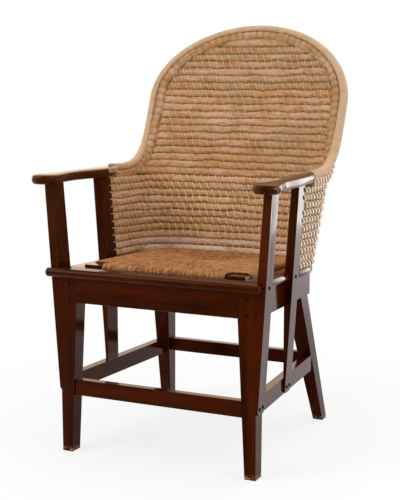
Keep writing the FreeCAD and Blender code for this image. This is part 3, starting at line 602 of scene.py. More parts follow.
# A course's section is a little fuller than an ellipse; shared waves are (count, start, drift)
FULLNESS = 1.04
OVAL_POWER = 0.74
SHARED_WAVES = ((3.0, 0.9, 0.5), (7.0, 2.1, 0.8), (10.0, 4.0, 1.1))
SHARED_HEIGHT = 2.2
OWN_WAVES = (9.0, 17.0, 29.0)
OWN_HEIGHT = 1.5
WAVE_SEED, CALM_COURSES = 900, 3.0


def wave(boundary, share):
    """How far the line between two courses wanders: partly with its neighbours, none at foot and crown."""
    if boundary in (0, COURSES):
        return 0.0
    chance = random.Random(WAVE_SEED + boundary)
    shared = sum(math.sin(count * share * math.pi + start + drift * boundary)
                 for count, start, drift in SHARED_WAVES)
    own = sum(math.sin(count * share * math.pi + chance.uniform(0.0, 2 * math.pi)) for count in OWN_WAVES)
    ends = min(1.0, boundary / CALM_COURSES, (COURSES - boundary) / CALM_COURSES)
    return (SHARED_HEIGHT * shared / len(SHARED_WAVES) + OWN_HEIGHT * own / len(OWN_WAVES)) * ends


def oval(turn):
    across, rise = math.cos(turn), math.sin(turn)
    return (math.copysign(abs(across) ** OVAL_POWER, across), math.copysign(abs(rise) ** OVAL_POWER, rise))


class Course:
    """One straw course: its low, middle and high lines, read together at a share of the length."""

    def __init__(self, index):
        self.index = index
        low_course = index < COURSES_LOW
        pitch = LOW_PITCH if low_course else HIGH_PITCH
        base = index * LOW_PITCH if low_course else LOW_TOP + (index - COURSES_LOW) * HIGH_PITCH
        line = wrap_line if low_course else panel_line
        self.low, self.middle, self.high = [Line(line(base + pitch * share)) for share in (0.0, 0.5, 1.0)]
        self.length = self.middle.length
        self.tucked = not low_course
        self.arched = base >= ARCH_SPRING
        self.crown = CROWN_GAP if index == COURSES - 1 else 0.0

    def spine(self, distance, straight):
        """The middle, the reach up, the reach down and the way outwards at a distance from the right end."""
        share = distance / self.length
        middle = self.middle.at(distance)
        if self.arched:
            high, low = self.high.level_with(middle.x), self.low.level_with(middle.x)
        elif straight and self.tucked:
            high, low = self.high.nearest(middle), self.low.nearest(middle)
        else:
            high, low = self.high.at(self.high.length * share), self.low.at(self.low.length * share)
        if self.tucked:
            share = (1.0 - middle.x / ARCH_HALF) / 2
        up = high - middle + Vector((0.0, 0.0, self.crown))
        down = low - middle
        up = up * (1.0 + wave(self.index + 1, share) / up.length)
        down = down * (1.0 - wave(self.index, share) / down.length)
        outward = (up - down).cross(self.middle.along(distance)).normalized()
        if outward.y * abs(middle.y) + outward.x * middle.x < 0:
            outward = -outward
        return middle, up, down, outward

    def ring(self, distance, turns, swell, full=FULLNESS, straight=False):
        """Points of the surface: turn 0 faces outwards, a quarter turn is up; a stitch goes straight."""
        middle, up, down, outward = self.spine(distance, straight)
        points = []
        for turn in turns:
            across, rise = oval(turn)
            reach = up if rise > 0 else -down
            points.append(place(middle + outward * (across * (STRAW_HALF + swell)) + reach * rise * full))
        return points


# Meshes made of strands
STRAND_ANGLE, SMOOTH_ANGLE, EDGE_ANGLE = math.radians(70), math.radians(38), math.radians(40)
MERGE = 0.00002
TWINE_SIDES = 5


def select(*pieces):
    bpy.ops.object.select_all(action="DESELECT")
    for piece in pieces:
        piece.select_set(True)
    bpy.context.view_layer.objects.active = pieces[0]


def smoothed(name, mesh, angle, merge=0.0):
    """A new object with its faces turned outwards and shaded smooth; near points may be merged first."""
    piece = bpy.data.objects.new(name, mesh)
    bpy.context.scene.collection.objects.link(piece)
    select(piece)
    bpy.ops.object.mode_set(mode="EDIT")
    bpy.ops.mesh.select_all(action="SELECT")
    if merge:
        bpy.ops.mesh.remove_doubles(threshold=merge)
    bpy.ops.mesh.normals_make_consistent(inside=False)
    bpy.ops.object.mode_set(mode="OBJECT")
    bpy.ops.object.shade_smooth_by_angle(angle=angle)
    return piece


def settle(piece, slot, body, *nodes):
    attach(piece, body)
    if nodes:
        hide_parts(*nodes)
    return piece


def turns_round(count):
    return [2 * math.pi * step / count for step in range(count)]


class Strands:
    """Gathers swept strands into one mesh, with a UV map along and round them, in metres, and two values."""

    def __init__(self):
        self.points = []
        self.faces = []
        self.uvs = []
        self.tones = []
        self.grooves = []

    def sweep(self, rings, tone, around, grooves=None):
        """Joins rings of points, given in metres, by faces and closes both ends."""
        start = len(self.points)
        count = len(rings[0])
        along = 0.0
        marks = []
        for index, ring in enumerate(rings):
            if index:
                along += (ring[0] - rings[index - 1][0]).length
            marks.append(along)
            self.points.extend(ring)
            self.tones.extend([tone] * count)
            self.grooves.extend(grooves[index] if grooves else [0.0] * count)
        for row, (before, after) in enumerate(zip(marks, marks[1:])):
            near = start + row * count
            far = near + count
            for column in range(count):
                following = (column + 1) % count
                self.faces.append((near + column, near + following, far + following, far + column))
                low, high = around * column / count, around * (column + 1) / count
                self.uvs.extend([(before, low), (before, high), (after, high), (after, low)])
        last = start + (len(rings) - 1) * count
        self.faces.append(tuple(range(start + count - 1, start - 1, -1)))
        self.faces.append(tuple(range(last, last + count)))
        for mark in (0.0, along):
            self.uvs.extend([(mark, around * column / count) for column in range(count)])

    def tube(self, points, width, sides, tone, across=None):
        """A round strand through points in metres, its second value, painted shade, larger where it faces a
        direction.
        """
        rings, grooves = [], []
        normal = None
        for index, point in enumerate(points):
            ahead = points[min(index + 1, len(points) - 1)] - points[max(index - 1, 0)]
            ahead.normalize()
            if normal is None:
                normal = ahead.orthogonal().normalized()
            normal = (normal - ahead * normal.dot(ahead)).normalized()
            side = ahead.cross(normal)
            ways = [normal * math.cos(turn) + side * math.sin(turn) for turn in turns_round(sides)]
            rings.append([point + way * (width / 2) for way in ways])
            grooves.append([0.0 if across is None else abs(way.dot(across)) for way in ways])
        self.sweep(rings, tone, math.pi * width, grooves)

    def finished(self, name, material, slot, body, *nodes):
        """The gathered strands as a smooth piece that rides on a body and may stand for CAD nodes."""
        mesh = bpy.data.meshes.new(name)
        mesh.from_pydata(self.points, [], self.faces)
        layer = mesh.uv_layers.new(name="strands")
        for loop, pair in zip(layer.data, self.uvs):
            loop.uv = pair
        # The groove values are painted shade, except on the rim, where they mark its dark seams.
        for title, values in (("tone", self.tones), ("groove", self.grooves)):
            mesh.attributes.new(title, "FLOAT", "POINT").data.foreach_set("value", values)
        mesh.materials.append(material)
        return settle(smoothed(name, mesh, STRAND_ANGLE), slot, body, *nodes)

    def twine(self, points, fuller, chance, across=None):
        """A strand of the stitching twine, so many times its usual thickness."""
        self.tube(points, sizes().twine_width * fuller, TWINE_SIDES, chance.random(), across)

    def finished_twine(self, name, finish, colour):
        return self.finished(name, twine_finish(finish, colour), "binding_twine", CHAIR)


# Straw courses
SECTION_POINTS, LEAST_STATIONS, STATION = 28, 8, 4.8
TUCK, TUCK_TAPER = 14.0, 0.55
PINCH, PINCH_REACH = 1.5, 5.5
WANDER, WANDER_CELLS = 0.5, 11
# The groove starts say how far up a course's side the painted shade between courses begins.
GROOVE_START, LOW_GROOVE_START = 0.78, 0.6
STITCH_STEP, STITCH_STRAY = 6.8, 1.5
END_SPARE, CROWN_SPARE = 3.0, 40.0
COURSE_SEED = 100


def stitch_marks(course):
    """Distances along a course at which its stitches cross it; each course's step on from the last one's."""
    pitch = sizes().stitch_pitch / MM
    stray = random.Random(course.index).uniform(-STITCH_STRAY, STITCH_STRAY)
    shift = (STITCH_STEP * course.index + stray) % pitch - pitch / 2
    count = max(2, int((course.length - pitch * 0.5) / pitch))
    first = (course.length - count * pitch) / 2 + shift
    spare = CROWN_SPARE if course.crown else END_SPARE
    marks = [first + index * pitch for index in range(count + 1)]
    return [mark for mark in marks if spare < mark < course.length - spare]


def pinch_at(distance):
    """How far a stitch draws the straw in at a distance from it."""
    return PINCH * max(0.0, 1.0 - distance / PINCH_REACH)


def painted_shade_depth(turn, start):
    """How much painted shade a point of a course gets: between courses, and on the outside between the
    loops.
    """
    between = max(0.0, (abs(math.sin(turn)) - start) / (1 - start))
    return max(between, math.cos(turn))


def course_rings(course, chance):
    """Rings along a course: slightly uneven, pinched where a stitch holds it, tapered where it tucks in."""
    marks = stitch_marks(course)
    count = max(LEAST_STATIONS, round(course.length / STATION))
    wander = [chance.uniform(-WANDER, WANDER) for _ in range(WANDER_CELLS + 1)]
    turns = turns_round(SECTION_POINTS)
    start = GROOVE_START if course.tucked else LOW_GROOVE_START
    rings = []
    for index in range(count + 1):
        distance = course.length * index / count
        pinch = pinch_at(min(abs(distance - mark) for mark in marks))
        cell = WANDER_CELLS * index / count
        low = min(WANDER_CELLS - 1, int(cell))
        uneven = wander[low] + (wander[low + 1] - wander[low]) * (cell - low)
        edge = min(distance, course.length - distance)
        taper = min(1.0, TUCK_TAPER + (1.0 - TUCK_TAPER) * edge / TUCK) if course.tucked else 1.0
        rings.append(course.ring(distance, turns, (STRAW_HALF + uneven - pinch) * taper - STRAW_HALF))
    # The second list holds the painted shade for the points of each ring.
    return rings, [[painted_shade_depth(turn, start) for turn in turns]] * (count + 1)


class StrawCourses(bpy.types.Operator):
    """Lays the stitched straw courses of the back"""
    bl_idname = "straw_chair.courses"
    bl_label = "Straw courses"

    def execute(self, context):
        material = straw_finish("bundled_straw")
        for index in range(COURSES):
            chance = random.Random(COURSE_SEED + index)
            rings, grooves = course_rings(Course(index), chance)
            strands = Strands()
            strands.sweep(rings, chance.random(), 2 * math.pi * STRAW_HALF * MM, grooves)
            name = f"course_{index + 1:02d}"
            strands.finished(name, material, "straw", CHAIR, f"straw_{name}")
        return {"FINISHED"}


STITCH_STEPS, STITCH_SEED = 6, 500
STITCH_LEAN, LOOP_LEAN, LEAN_STRAY, STITCH_BOW = 4.2, -1.3, 0.9, 1.8
STITCH_PROUD, STITCH_END = 0.5, 0.5
STITCH_TURNS = (math.radians(94), math.radians(266))
LOOP_TURNS = (math.radians(86), math.radians(-86))
LOOP_PROUD, LOOP_FULLER, LOOP_HEIGHT, LOW_FULLER = 2.3, 1.9, 0.78, 1.3


def stitch_path(course, mark, inside, chance):
    """A stitch over one face of a course, from the groove above it to the groove below it."""
    first, last = STITCH_TURNS if inside else LOOP_TURNS
    lean = STITCH_LEAN * (1.0 if inside else LOOP_LEAN) + chance.uniform(-LEAN_STRAY, LEAN_STRAY)
    proud = STITCH_PROUD if inside else LOOP_PROUD
    full = FULLNESS if inside else LOOP_HEIGHT
    points = []
    for step in range(STITCH_STEPS + 1):
        share = step / STITCH_STEPS
        bow = STITCH_BOW * math.sin(math.pi * share) * (1 if inside else -1)
        distance = mark + lean * math.cos(math.pi * share) + bow
        distance = min(max(distance, STITCH_END), course.length - STITCH_END)
        swell = proud - pinch_at(abs(distance - mark))
        points.extend(course.ring(distance, [first + (last - first) * share], swell, full, True))
    return points


class Stitches(bpy.types.Operator):
    """Sews the straw courses together with pale twine"""
    bl_idname = "straw_chair.stitches"
    bl_label = "Twine stitches"

    def execute(self, context):
        tint = colours()
        high = range(COURSES_LOW, COURSES)
        # Painted light: the lower courses' stitches and the outside loops get lighter copies of the twine
        # colour.
        self.sew(range(COURSES_LOW), True, LOW_FULLER, "stitches_low", "lit_low_twine", tint.lit_low_twine)
        self.sew(high, True, 1.0, "stitches_inside", "stitch_twine", tint.twine)
        self.sew(range(COURSES), False, LOOP_FULLER, "stitches_outside", "lit_loop_twine", tint.lit_loop_twine)
        return {"FINISHED"}

    def sew(self, indices, inside, fuller, *names):
        strands = Strands()
        for index in indices:
            chance = random.Random(STITCH_SEED + index)
            course = Course(index)
            for mark in stitch_marks(course):
                path = stitch_path(course, mark, inside, chance)
                # The outside loops get painted shade on the sides that face along the course.
                strands.twine(path, fuller, chance, None if inside else course.middle.along(mark))
        strands.finished_twine(*names)


# Border: an inner straw coil with spaced stitches and the bound rim outside it
BORDER_STATION, BORDER_POINTS, BORDER_UNEVEN, DRAWN_POWER, DARK_POWER = 2.4, 22, 0.15, 2, 5
SIDEWAYS = 0.1
COIL_STITCH, COIL_STEPS, COIL_LEAN, COIL_FINER = 18.6, 11, (-0.6, 1.4), 0.55
COIL_FULLER, COIL_PROUD, COIL_SETTLE, COIL_PINCH = 7.5, 5.0, 2.8, 2.0
# Painted shade: the coil is painted darker where its stitches draw it in, by the first number on the next
# line.
COIL_CREASE_SHADE, COIL_TONE, COIL_SEED = 0.85, 0.1, 7
COIL_LOOP_REACH, COIL_LOOP_PROUD = math.radians(80), 0.6
RIM_FULLER, RIM_TONE, RIM_SEED = 2.4, 0.5, 8
SEAM_FIRST, SEAM_SPARE, SEAM_APART = 14.0, 10.0, (26.0, 58.0)
SEAM_REACH, SEAM_PINCH, SEAM_DARK = 2.4, 0.5, 0.3


class Border:
    """A roll along the border between two of its lines."""

    def __init__(self, inset, width, thick):
        self.outer, self.inner, self.middle = [
            Line(border_line(line)) for line in (inset - width / 2, inset + width / 2, inset)]
        self.length = self.middle.length
        self.half_width, self.half = width / 2, thick / 2

    def point(self, distance, turn, swell):
        """Turn 0 faces away from the sitter, a quarter turn faces the crown's outside."""
        share = distance / self.length
        middle = self.middle.at(distance)
        ahead = self.middle.along(distance)
        across = self.outer.at(self.outer.length * share) - self.inner.at(self.inner.length * share)
        across = (across - ahead * across.dot(ahead)).normalized() * self.half_width
        normal = across.cross(ahead).normalized()
        if normal.y < 0 or (abs(normal.y) < SIDEWAYS and normal.x * middle.x < 0):
            normal = -normal
        side, rise = oval(turn)
        outward = normal * (side * (self.half + swell))
        return place(middle + outward + across * (rise * (1 + swell / self.half)))

    def rings(self, marks, reach, depth, dark, chance):
        """Rings along the roll, drawn in at each mark, with darkness at the marks as a second value: painted
        shade in the coil's creases, dark seams on the rim.
        """
        count = round(self.length / BORDER_STATION)
        rings, grooves = [], []
        for index in range(count + 1):
            distance = self.length * index / count
            near = min(abs(distance - mark) for mark in marks)
            held = max(0.0, 1.0 - near / reach)
            swell = chance.uniform(-BORDER_UNEVEN, BORDER_UNEVEN) - depth * held ** DRAWN_POWER
            rings.append([self.point(distance, turn, swell) for turn in turns_round(BORDER_POINTS)])
            grooves.append([held ** DARK_POWER * dark] * BORDER_POINTS)
        return rings, grooves


class BackBorder(bpy.types.Operator):
    """Adds the straw coil and the bound rim round the back"""
    bl_idname = "straw_chair.border"
    bl_label = "Coil and bound rim"

    def execute(self, context):
        self.add_coil(random.Random(COIL_SEED))
        self.add_rim(random.Random(RIM_SEED))
        return {"FINISHED"}

    def add_coil(self, chance):
        inset = (RIM_WIDTH + COIL_WIDTH) / 2 + COIL_SETTLE
        coil = Border(inset, COIL_WIDTH + COIL_FULLER, COIL_THICK + COIL_PROUD)
        count = int(coil.length / COIL_STITCH)
        marks = [coil.length * (index + 0.5) / count for index in range(count)]
        # Painted shade where the stitches draw the coil in.
        rings, grooves = coil.rings(marks, COIL_STITCH / 2, COIL_PINCH, COIL_CREASE_SHADE, chance)
        strands = Strands()
        strands.sweep(rings, COIL_TONE, math.pi * COIL_THICK * MM, grooves)
        strands.finished("inner_coil", straw_finish("coiled_straw"), "straw", CHAIR, "rim_coil")
        bands = Strands()
        for mark in marks:
            lean = chance.uniform(*COIL_LEAN)
            points = [coil.point(mark + lean * math.cos(turn), turn, -COIL_PINCH)
                      for turn in turns_round(COIL_STEPS)]
            points.append(points[0])
            bands.twine(points, COIL_FINER, chance)
        # Painted shade: the twine round the coil gets a darker copy of the twine colour.
        bands.finished_twine("coil_stitches", "shaded_coil_twine", colours().shaded_coil_twine)
        self.add_coil_loops(coil, chance)

    def add_coil_loops(self, coil, chance):
        """The stitch loops over the coil's outside, like those of the courses."""
        pitch = sizes().stitch_pitch / MM
        loops = Strands()
        for index in range(int(coil.length / pitch)):
            mark = (index + 0.5) * pitch
            points = []
            for step in range(STITCH_STEPS + 1):
                share = step / STITCH_STEPS
                drift = STITCH_LEAN * math.cos(math.pi * share) + STITCH_BOW * math.sin(math.pi * share)
                turn = COIL_LOOP_REACH * (1.0 - 2.0 * share)
                points.append(coil.point(mark - drift, turn, COIL_LOOP_PROUD))
            # Painted shade on the sides of each loop that face along the coil.
            loops.twine(points, LOOP_FULLER, chance, coil.middle.along(mark))
        # Painted light: the coil's loops use the lighter outside copy of the twine.
        loops.finished_twine("coil_loops", "lit_coil_loop_twine", colours().lit_loop_twine)

    def add_rim(self, chance):
        rim = Border(0.0, RIM_WIDTH + RIM_FULLER, RIM_THICK)
        seams = []
        distance = SEAM_FIRST
        while distance < rim.length - SEAM_SPARE:
            seams.append(distance)
            distance += chance.uniform(*SEAM_APART)
        rings, grooves = rim.rings(seams, SEAM_REACH, SEAM_PINCH, SEAM_DARK, chance)
        wound = Strands()
        wound.sweep(rings, RIM_TONE, math.pi * RIM_THICK * MM, grooves)
        wound.finished("wound_rim", binding_finish(), "binding_twine", CHAIR, "bound_rim")


# Lacing; the arm stitch's section is (past the arm's inner edge, above its top, drift)
LACE_STEPS, LACE_REACH, LACE_STRAY, LACE_SEED = 6, 9.0, 1.0, 17
LACE_OFF, LACE_BOW, LACE_RISE = 0.6, 1.2, 1.5
ARM_STITCH, ARM_STITCH_FIRST, ARM_STITCH_LAST, ARM_STITCH_LEAN = 5.6, 204.0, 262.0, 0.8
ARM_SECTION = ((5.0, 0.5, 0.0), (2.0, -0.3, 0.5), (0.0, -3.0, 1.0), (-0.9, -7.0, 1.5), (-0.6, -11.0, 2.0))
EDGE_SEARCH = 9.0


def post_outer(reach, height):
    """How far out an arm post's outer face lies at a reach and a height above the floor."""
    rise = (height - POST_LOW) / (ARM_HEIGHT - POST_LOW)
    return SIDE_HALF - TOE * reach + POST_LOW_THICK + rise * (POST_FLARE - POST_LOW_THICK)


def inner_edge(node, y):
    """How near to the chair's middle a right-hand node comes at a y, in millimetres."""
    corners = [vertex.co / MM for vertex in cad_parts[node].data.vertices]
    return min(corner.x for corner in corners if abs(corner.y - y) < EDGE_SEARCH)


class Lacing(bpy.types.Operator):
    """Laces the straw to the rear arm posts and sews it along the arms"""
    bl_idname = "straw_chair.lacing"
    bl_label = "Lacing"

    def execute(self, context):
        chance = random.Random(LACE_SEED)
        strands = Strands()
        for side in (-1, 1):
            for index in range(COURSES_LOW):
                strands.twine(self.lace(side, index, chance), 1.0, chance)
            reach = ARM_STITCH_FIRST
            while reach < ARM_STITCH_LAST:
                strands.twine(self.arm_stitch(side, reach, chance), 1.0, chance)
                reach += ARM_STITCH
        strands.finished_twine("post_lacing", "lacing_twine", colours().twine)
        return {"FINISHED"}

    def lace(self, side, index, chance):
        """One turn of twine from the straw's inside, round the rear edge of the post's inner face."""
        height = (index + 0.5) * LOW_PITCH + chance.uniform(-LACE_STRAY, LACE_STRAY) + SEAT_HEIGHT
        inner = post_outer(REAR_POST_END, height) - POST_THICK - LACE_OFF
        points = []
        for step in range(LACE_STEPS + 1):
            share = step / LACE_STEPS
            reach = REAR_POST_END + LACE_REACH * (1.0 - 2.0 * share)
            out = inner - LACE_BOW * math.sin(math.pi * share)
            points.append(Vector((side * out, LEG_FRONT + reach, height + LACE_RISE * share)) * MM)
        return points

    def arm_stitch(self, side, reach, chance):
        """A stitch over the inner edge of an arm, near its rear end."""
        y = LEG_FRONT + reach
        inner = inner_edge("arm_right", y)
        top = ARM_HEIGHT + ARM_THICK
        lean = chance.uniform(-ARM_STITCH_LEAN, ARM_STITCH_LEAN)
        return [Vector((side * (inner + inside), y + lean * drift, top + rise)) * MM
                for inside, rise, drift in ARM_SECTION]


# Rush seat; the edge's pairs are (past the cord's radius, away from its top or bottom)
CENTRE_Y = (PAD_FRONT + PAD_REAR) / 2
FRONT_SLOPE = (CENTRE_Y - PAD_FRONT - BLOCK_DEPTH) / (PAD_HALF - BLOCK_WIDTH)
CORNER_OUT = PAD_CORNER * (1 - math.sqrt(0.5))
REAR_SLOPE = (PAD_REAR - CORNER_OUT - CENTRE_Y) / (PAD_HALF - CORNER_OUT)
CORD_SIDES, CORD_FULLNESS, CORD_LEAST, SEAM_LAP = 7, 1.12, 16.0, 4.0
CORD_BEND, CORD_TURN, CORD_STATION, CORD_UNEVEN = 13.0, 7.0, 7.0, 0.9
CORD_PROUD, PAD_DISH, PAD_DISH_REACH = 1.6, 3.0, 140.0
TURN_DROP, EDGE_HIGH, EDGE_MIDDLE, EDGE_LOW, TURN_RISE = 1.0, (0.7, 5.0), 11.0, (0.5, 5.0), 0.6
UNDER_LEAST, UNDER_SHORT, UNDER_DISH, UNDER_SHARES = 6.0, 12.0, 3.0, (0.15, 0.5, 1.0)
CORD_RISE, CORD_DRIFT, RUSH_SEED = (-0.7, 0.5), 0.6, 31


def rounded_end(past, end):
    """Where the pad's outline lies, short of an end, at a distance past the start of a rear corner."""
    if past <= 0:
        return end
    return end - PAD_CORNER + math.sqrt(max(0.0, PAD_CORNER ** 2 - past ** 2))


def cord_profile(length, radius, chance):
    """A cord in section: (in from the pad's edge, height), from the seam above round to the one below."""
    top = PAD_RISE - radius + CORD_PROUD
    low = PAD_UNDER + radius
    count = max(2, round((length - CORD_BEND) / CORD_STATION))
    points = []
    for step in range(count):
        inside = length - (length - CORD_BEND) * step / count
        uneven = chance.uniform(-CORD_UNEVEN, CORD_UNEVEN)
        points.append((inside, top - PAD_DISH * min(1.0, inside / PAD_DISH_REACH) + uneven))
    points += [
        (CORD_BEND, top), (CORD_TURN, top - TURN_DROP), (radius + EDGE_HIGH[0], top - EDGE_HIGH[1]),
        (radius, top - EDGE_MIDDLE), (radius + EDGE_LOW[0], low + EDGE_LOW[1]), (CORD_TURN, low + TURN_RISE)]
    under = max(UNDER_LEAST, length - UNDER_SHORT)
    return points + [(CORD_TURN + under * share, low + UNDER_DISH * share) for share in UNDER_SHARES]


class RushSeat(bpy.types.Operator):
    """Weaves the loose seat's rush in four fields"""
    bl_idname = "straw_chair.rush"
    bl_label = "Rush seat"

    def execute(self, context):
        chance = random.Random(RUSH_SEED)
        width = sizes().cord_width
        step = width / MM
        radius = step / 2
        strands = Strands()

        def cord(x, y, inward, length):
            tone = chance.random()
            rise = chance.uniform(*CORD_RISE)
            drift = chance.uniform(-CORD_DRIFT, CORD_DRIFT)
            sideways = Vector((-inward.y, inward.x, 0.0))
            edge = Vector((x, y, 0.0))
            profile = cord_profile(max(length + SEAM_LAP, CORD_LEAST), radius, chance)
            points = [place(edge + inward * inside + sideways * drift + Vector((0.0, 0.0, height + rise)))
                      for inside, height in profile]
            # The cord's sides that face its neighbours get painted shade.
            strands.tube(points, width * CORD_FULLNESS, CORD_SIDES, tone, sideways)

        def spaced(first, last):
            return [first + index * step for index in range(int((last - first) / step) + 1)]

        across = PAD_HALF - BLOCK_WIDTH - radius
        for x in spaced(-across, across):
            cord(x, PAD_FRONT, Vector((0.0, 1.0, 0.0)), BLOCK_DEPTH + (across - abs(x)) * FRONT_SLOPE)
        back = PAD_HALF - CORNER_OUT
        for x in spaced(-back, back):
            edge = rounded_end(abs(x) - (PAD_HALF - PAD_CORNER), PAD_REAR)
            cord(x, edge, Vector((0.0, -1.0, 0.0)), edge - CENTRE_Y - abs(x) * REAR_SLOPE)
        for y in spaced(PAD_FRONT + BLOCK_DEPTH + radius, PAD_REAR - CORNER_OUT):
            seam = (CENTRE_Y - y) / FRONT_SLOPE if y < CENTRE_Y else (y - CENTRE_Y) / REAR_SLOPE
            half = rounded_end(y - (PAD_REAR - PAD_CORNER), PAD_HALF)
            for side in (-1.0, 1.0):
                cord(side * half, y, Vector((-side, 0.0, 0.0)), half - seam)
        strands.finished("rush_cords", rush_finish(), "rush", LOOSE_SEAT, "rush_seat")
        return {"FINISHED"}


# Wooden frame, by the axis of its grain
def both(*names):
    return [f"{name}_{side}" for name in names for side in ("left", "right")]


GRAIN = (
    ("wood_across", ["front_seat_rail", "rear_seat_rail", "front_stretcher", "rear_stretcher", "seat_board",
                     "front_seat_cleat", "seat_frame"]),
    ("wood_lengthwise", both("side_seat_rail", "side_stretcher", "arm", "side_seat_cleat")),
    ("wood_upright", both("front_leg", "rear_leg", "front_arm_post", "rear_arm_post")),
)
ROUNDED = ("arm_left", "arm_right", "seat_board")
EDGE_SEGMENTS = 2
STRIP, STRIP_ROUND, STRIP_STEPS, STRIP_TIP = "front_nosing", 0.009, 7, math.radians(18)
STRIP_END, STRIP_DIGITS = 0.0001, 5


def strip_section():
    """The outline of the front strip's end, in order, as pairs of y and z."""
    points = [vertex.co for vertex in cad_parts[STRIP].data.vertices]
    end = max(point.x for point in points)
    pairs = list({(round(point.y, STRIP_DIGITS), round(point.z, STRIP_DIGITS))
                  for point in points if end - point.x < STRIP_END})
    centre_y = sum(y for y, _ in pairs) / len(pairs)
    centre_z = sum(z for _, z in pairs) / len(pairs)
    return sorted(pairs, key=lambda pair: math.atan2(pair[1] - centre_z, pair[0] - centre_y))


def add_strip(material):
    """The half-round strip along the board's front edge, with its ends worn round."""
    section = strip_section()
    back = max(y for y, _ in section)
    level = (min(z for _, z in section) + max(z for _, z in section)) / 2
    low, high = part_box(STRIP)
    turns = [STRIP_TIP + (math.pi / 2 - STRIP_TIP) * step / STRIP_STEPS for step in range(STRIP_STEPS + 1)]
    ends = [(STRIP_ROUND * (1 - math.cos(turn)), math.sin(turn)) for turn in turns]
    stations = [(low.x + inside, full) for inside, full in ends]
    stations += [(high.x - inside, full) for inside, full in reversed(ends)]
    rings = [[Vector((x, back + (y - back) * full, level + (z - level) * full)) for y, z in section]
             for x, full in stations]
    strands = Strands()
    strands.sweep(rings, 0.0, STRIP_ROUND)
    strands.finished("nosing_polished", material, "frame_wood", CHAIR, STRIP)


def soften(piece, width):
    weld = piece.modifiers.new("merged", "WELD")
    weld.merge_threshold = MERGE
    bevel = piece.modifiers.new("softened", "BEVEL")
    bevel.width = width
    bevel.segments = EDGE_SEGMENTS
    bevel.limit_method = "ANGLE"
    bevel.angle_limit = EDGE_ANGLE


class WoodenFrame(bpy.types.Operator):
    """Gives the joined frame its stained and polished wood"""
    bl_idname = "straw_chair.wood"
    bl_label = "Wooden frame"

    def execute(self, context):
        for axis, (name, nodes) in enumerate(GRAIN):
            material = wood_finish(name, axis)
            if axis == 0:
                add_strip(material)
            for node in nodes:
                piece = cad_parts[node]
                if node in ROUNDED:
                    copy = smoothed(f"{node}_polished", piece.data.copy(), SMOOTH_ANGLE, MERGE)
                    piece = settle(copy, "frame_wood", CHAIR, node)
                soften(piece, sizes().wood_edge)
                piece.data.materials.clear()
                piece.data.materials.append(material)
        return {"FINISHED"}


# Fastenings; a head's dome is two insets as shares of the radius, each with its share of the height
HEAD_SIDES, HEAD_TOP, DOME_STEPS = 24, 0.9, ((0.18, 0.7), (0.35, 0.3))
PEG_OUT, PEG_RADIUS, PEG_DEPTH, PEG_DOME, PEG_SUNK, PEG_GLOW = 219.0, 4.5, 1.6, 1.4, 0.2, 0.05
PEG_HEIGHTS = (360.0, 394.0)
SCREW_RADIUS, SCREW_DEPTH, SCREW_DOME = 4.4, 2.4, 2.2
SLOT_WIDTH, SLOT_DEPTH = 1.1, 1.0
SCREW_LOW, SCREW_PAIR, SCREW_SEED = 156.0, 10.0, 3


def turned_head(radius, depth, dome):
    """A round head about the origin, facing +Z, its rim softened and its middle raised."""
    bpy.ops.object.select_all(action="DESELECT")
    bpy.ops.mesh.primitive_cylinder_add(
        vertices=HEAD_SIDES, radius=radius * MM, depth=depth * MM, end_fill_type="NGON")
    head = bpy.context.active_object
    bpy.ops.object.mode_set(mode="EDIT")
    bpy.ops.mesh.select_mode(type="FACE")
    bpy.ops.mesh.select_all(action="DESELECT")
    bpy.ops.object.mode_set(mode="OBJECT")
    for face in head.data.polygons:
        face.select = face.normal.z > HEAD_TOP
    bpy.ops.object.mode_set(mode="EDIT")
    for inset, rise in DOME_STEPS:
        bpy.ops.mesh.inset(thickness=radius * inset * MM)
        bpy.ops.transform.translate(value=(0.0, 0.0, dome * rise * MM))
    bpy.ops.object.mode_set(mode="OBJECT")
    return head


def slotted_head():
    """A screw head with a straight slot across it."""
    head = turned_head(SCREW_RADIUS, SCREW_DEPTH, SCREW_DOME)
    top = SCREW_DEPTH / 2 + SCREW_DOME
    bpy.ops.object.select_all(action="DESELECT")
    bpy.ops.mesh.primitive_cube_add(size=MM, location=(0.0, 0.0, top * MM))
    blade = bpy.context.active_object
    blade.scale = (3 * SCREW_RADIUS, SLOT_WIDTH, 2 * SLOT_DEPTH)
    groove = head.modifiers.new("slot", "BOOLEAN")
    groove.operation = "DIFFERENCE"
    groove.object = blade
    bpy.context.view_layer.objects.active = head
    bpy.ops.object.modifier_apply(modifier="slot")
    bpy.data.objects.remove(blade)
    return head


def spread_copies(pattern, name, places):
    """Copies of one head at several places, joined as one piece."""
    copies = []
    for matrix in places:
        twin = bpy.data.objects.new(name, pattern.data.copy())
        twin.data.transform(matrix)
        bpy.context.scene.collection.objects.link(twin)
        copies.append(twin)
    bpy.data.objects.remove(pattern)
    select(*copies)
    bpy.ops.object.join()
    piece = bpy.context.active_object
    piece.name = name
    bpy.ops.object.shade_smooth_by_angle(angle=SMOOTH_ANGLE)
    return piece


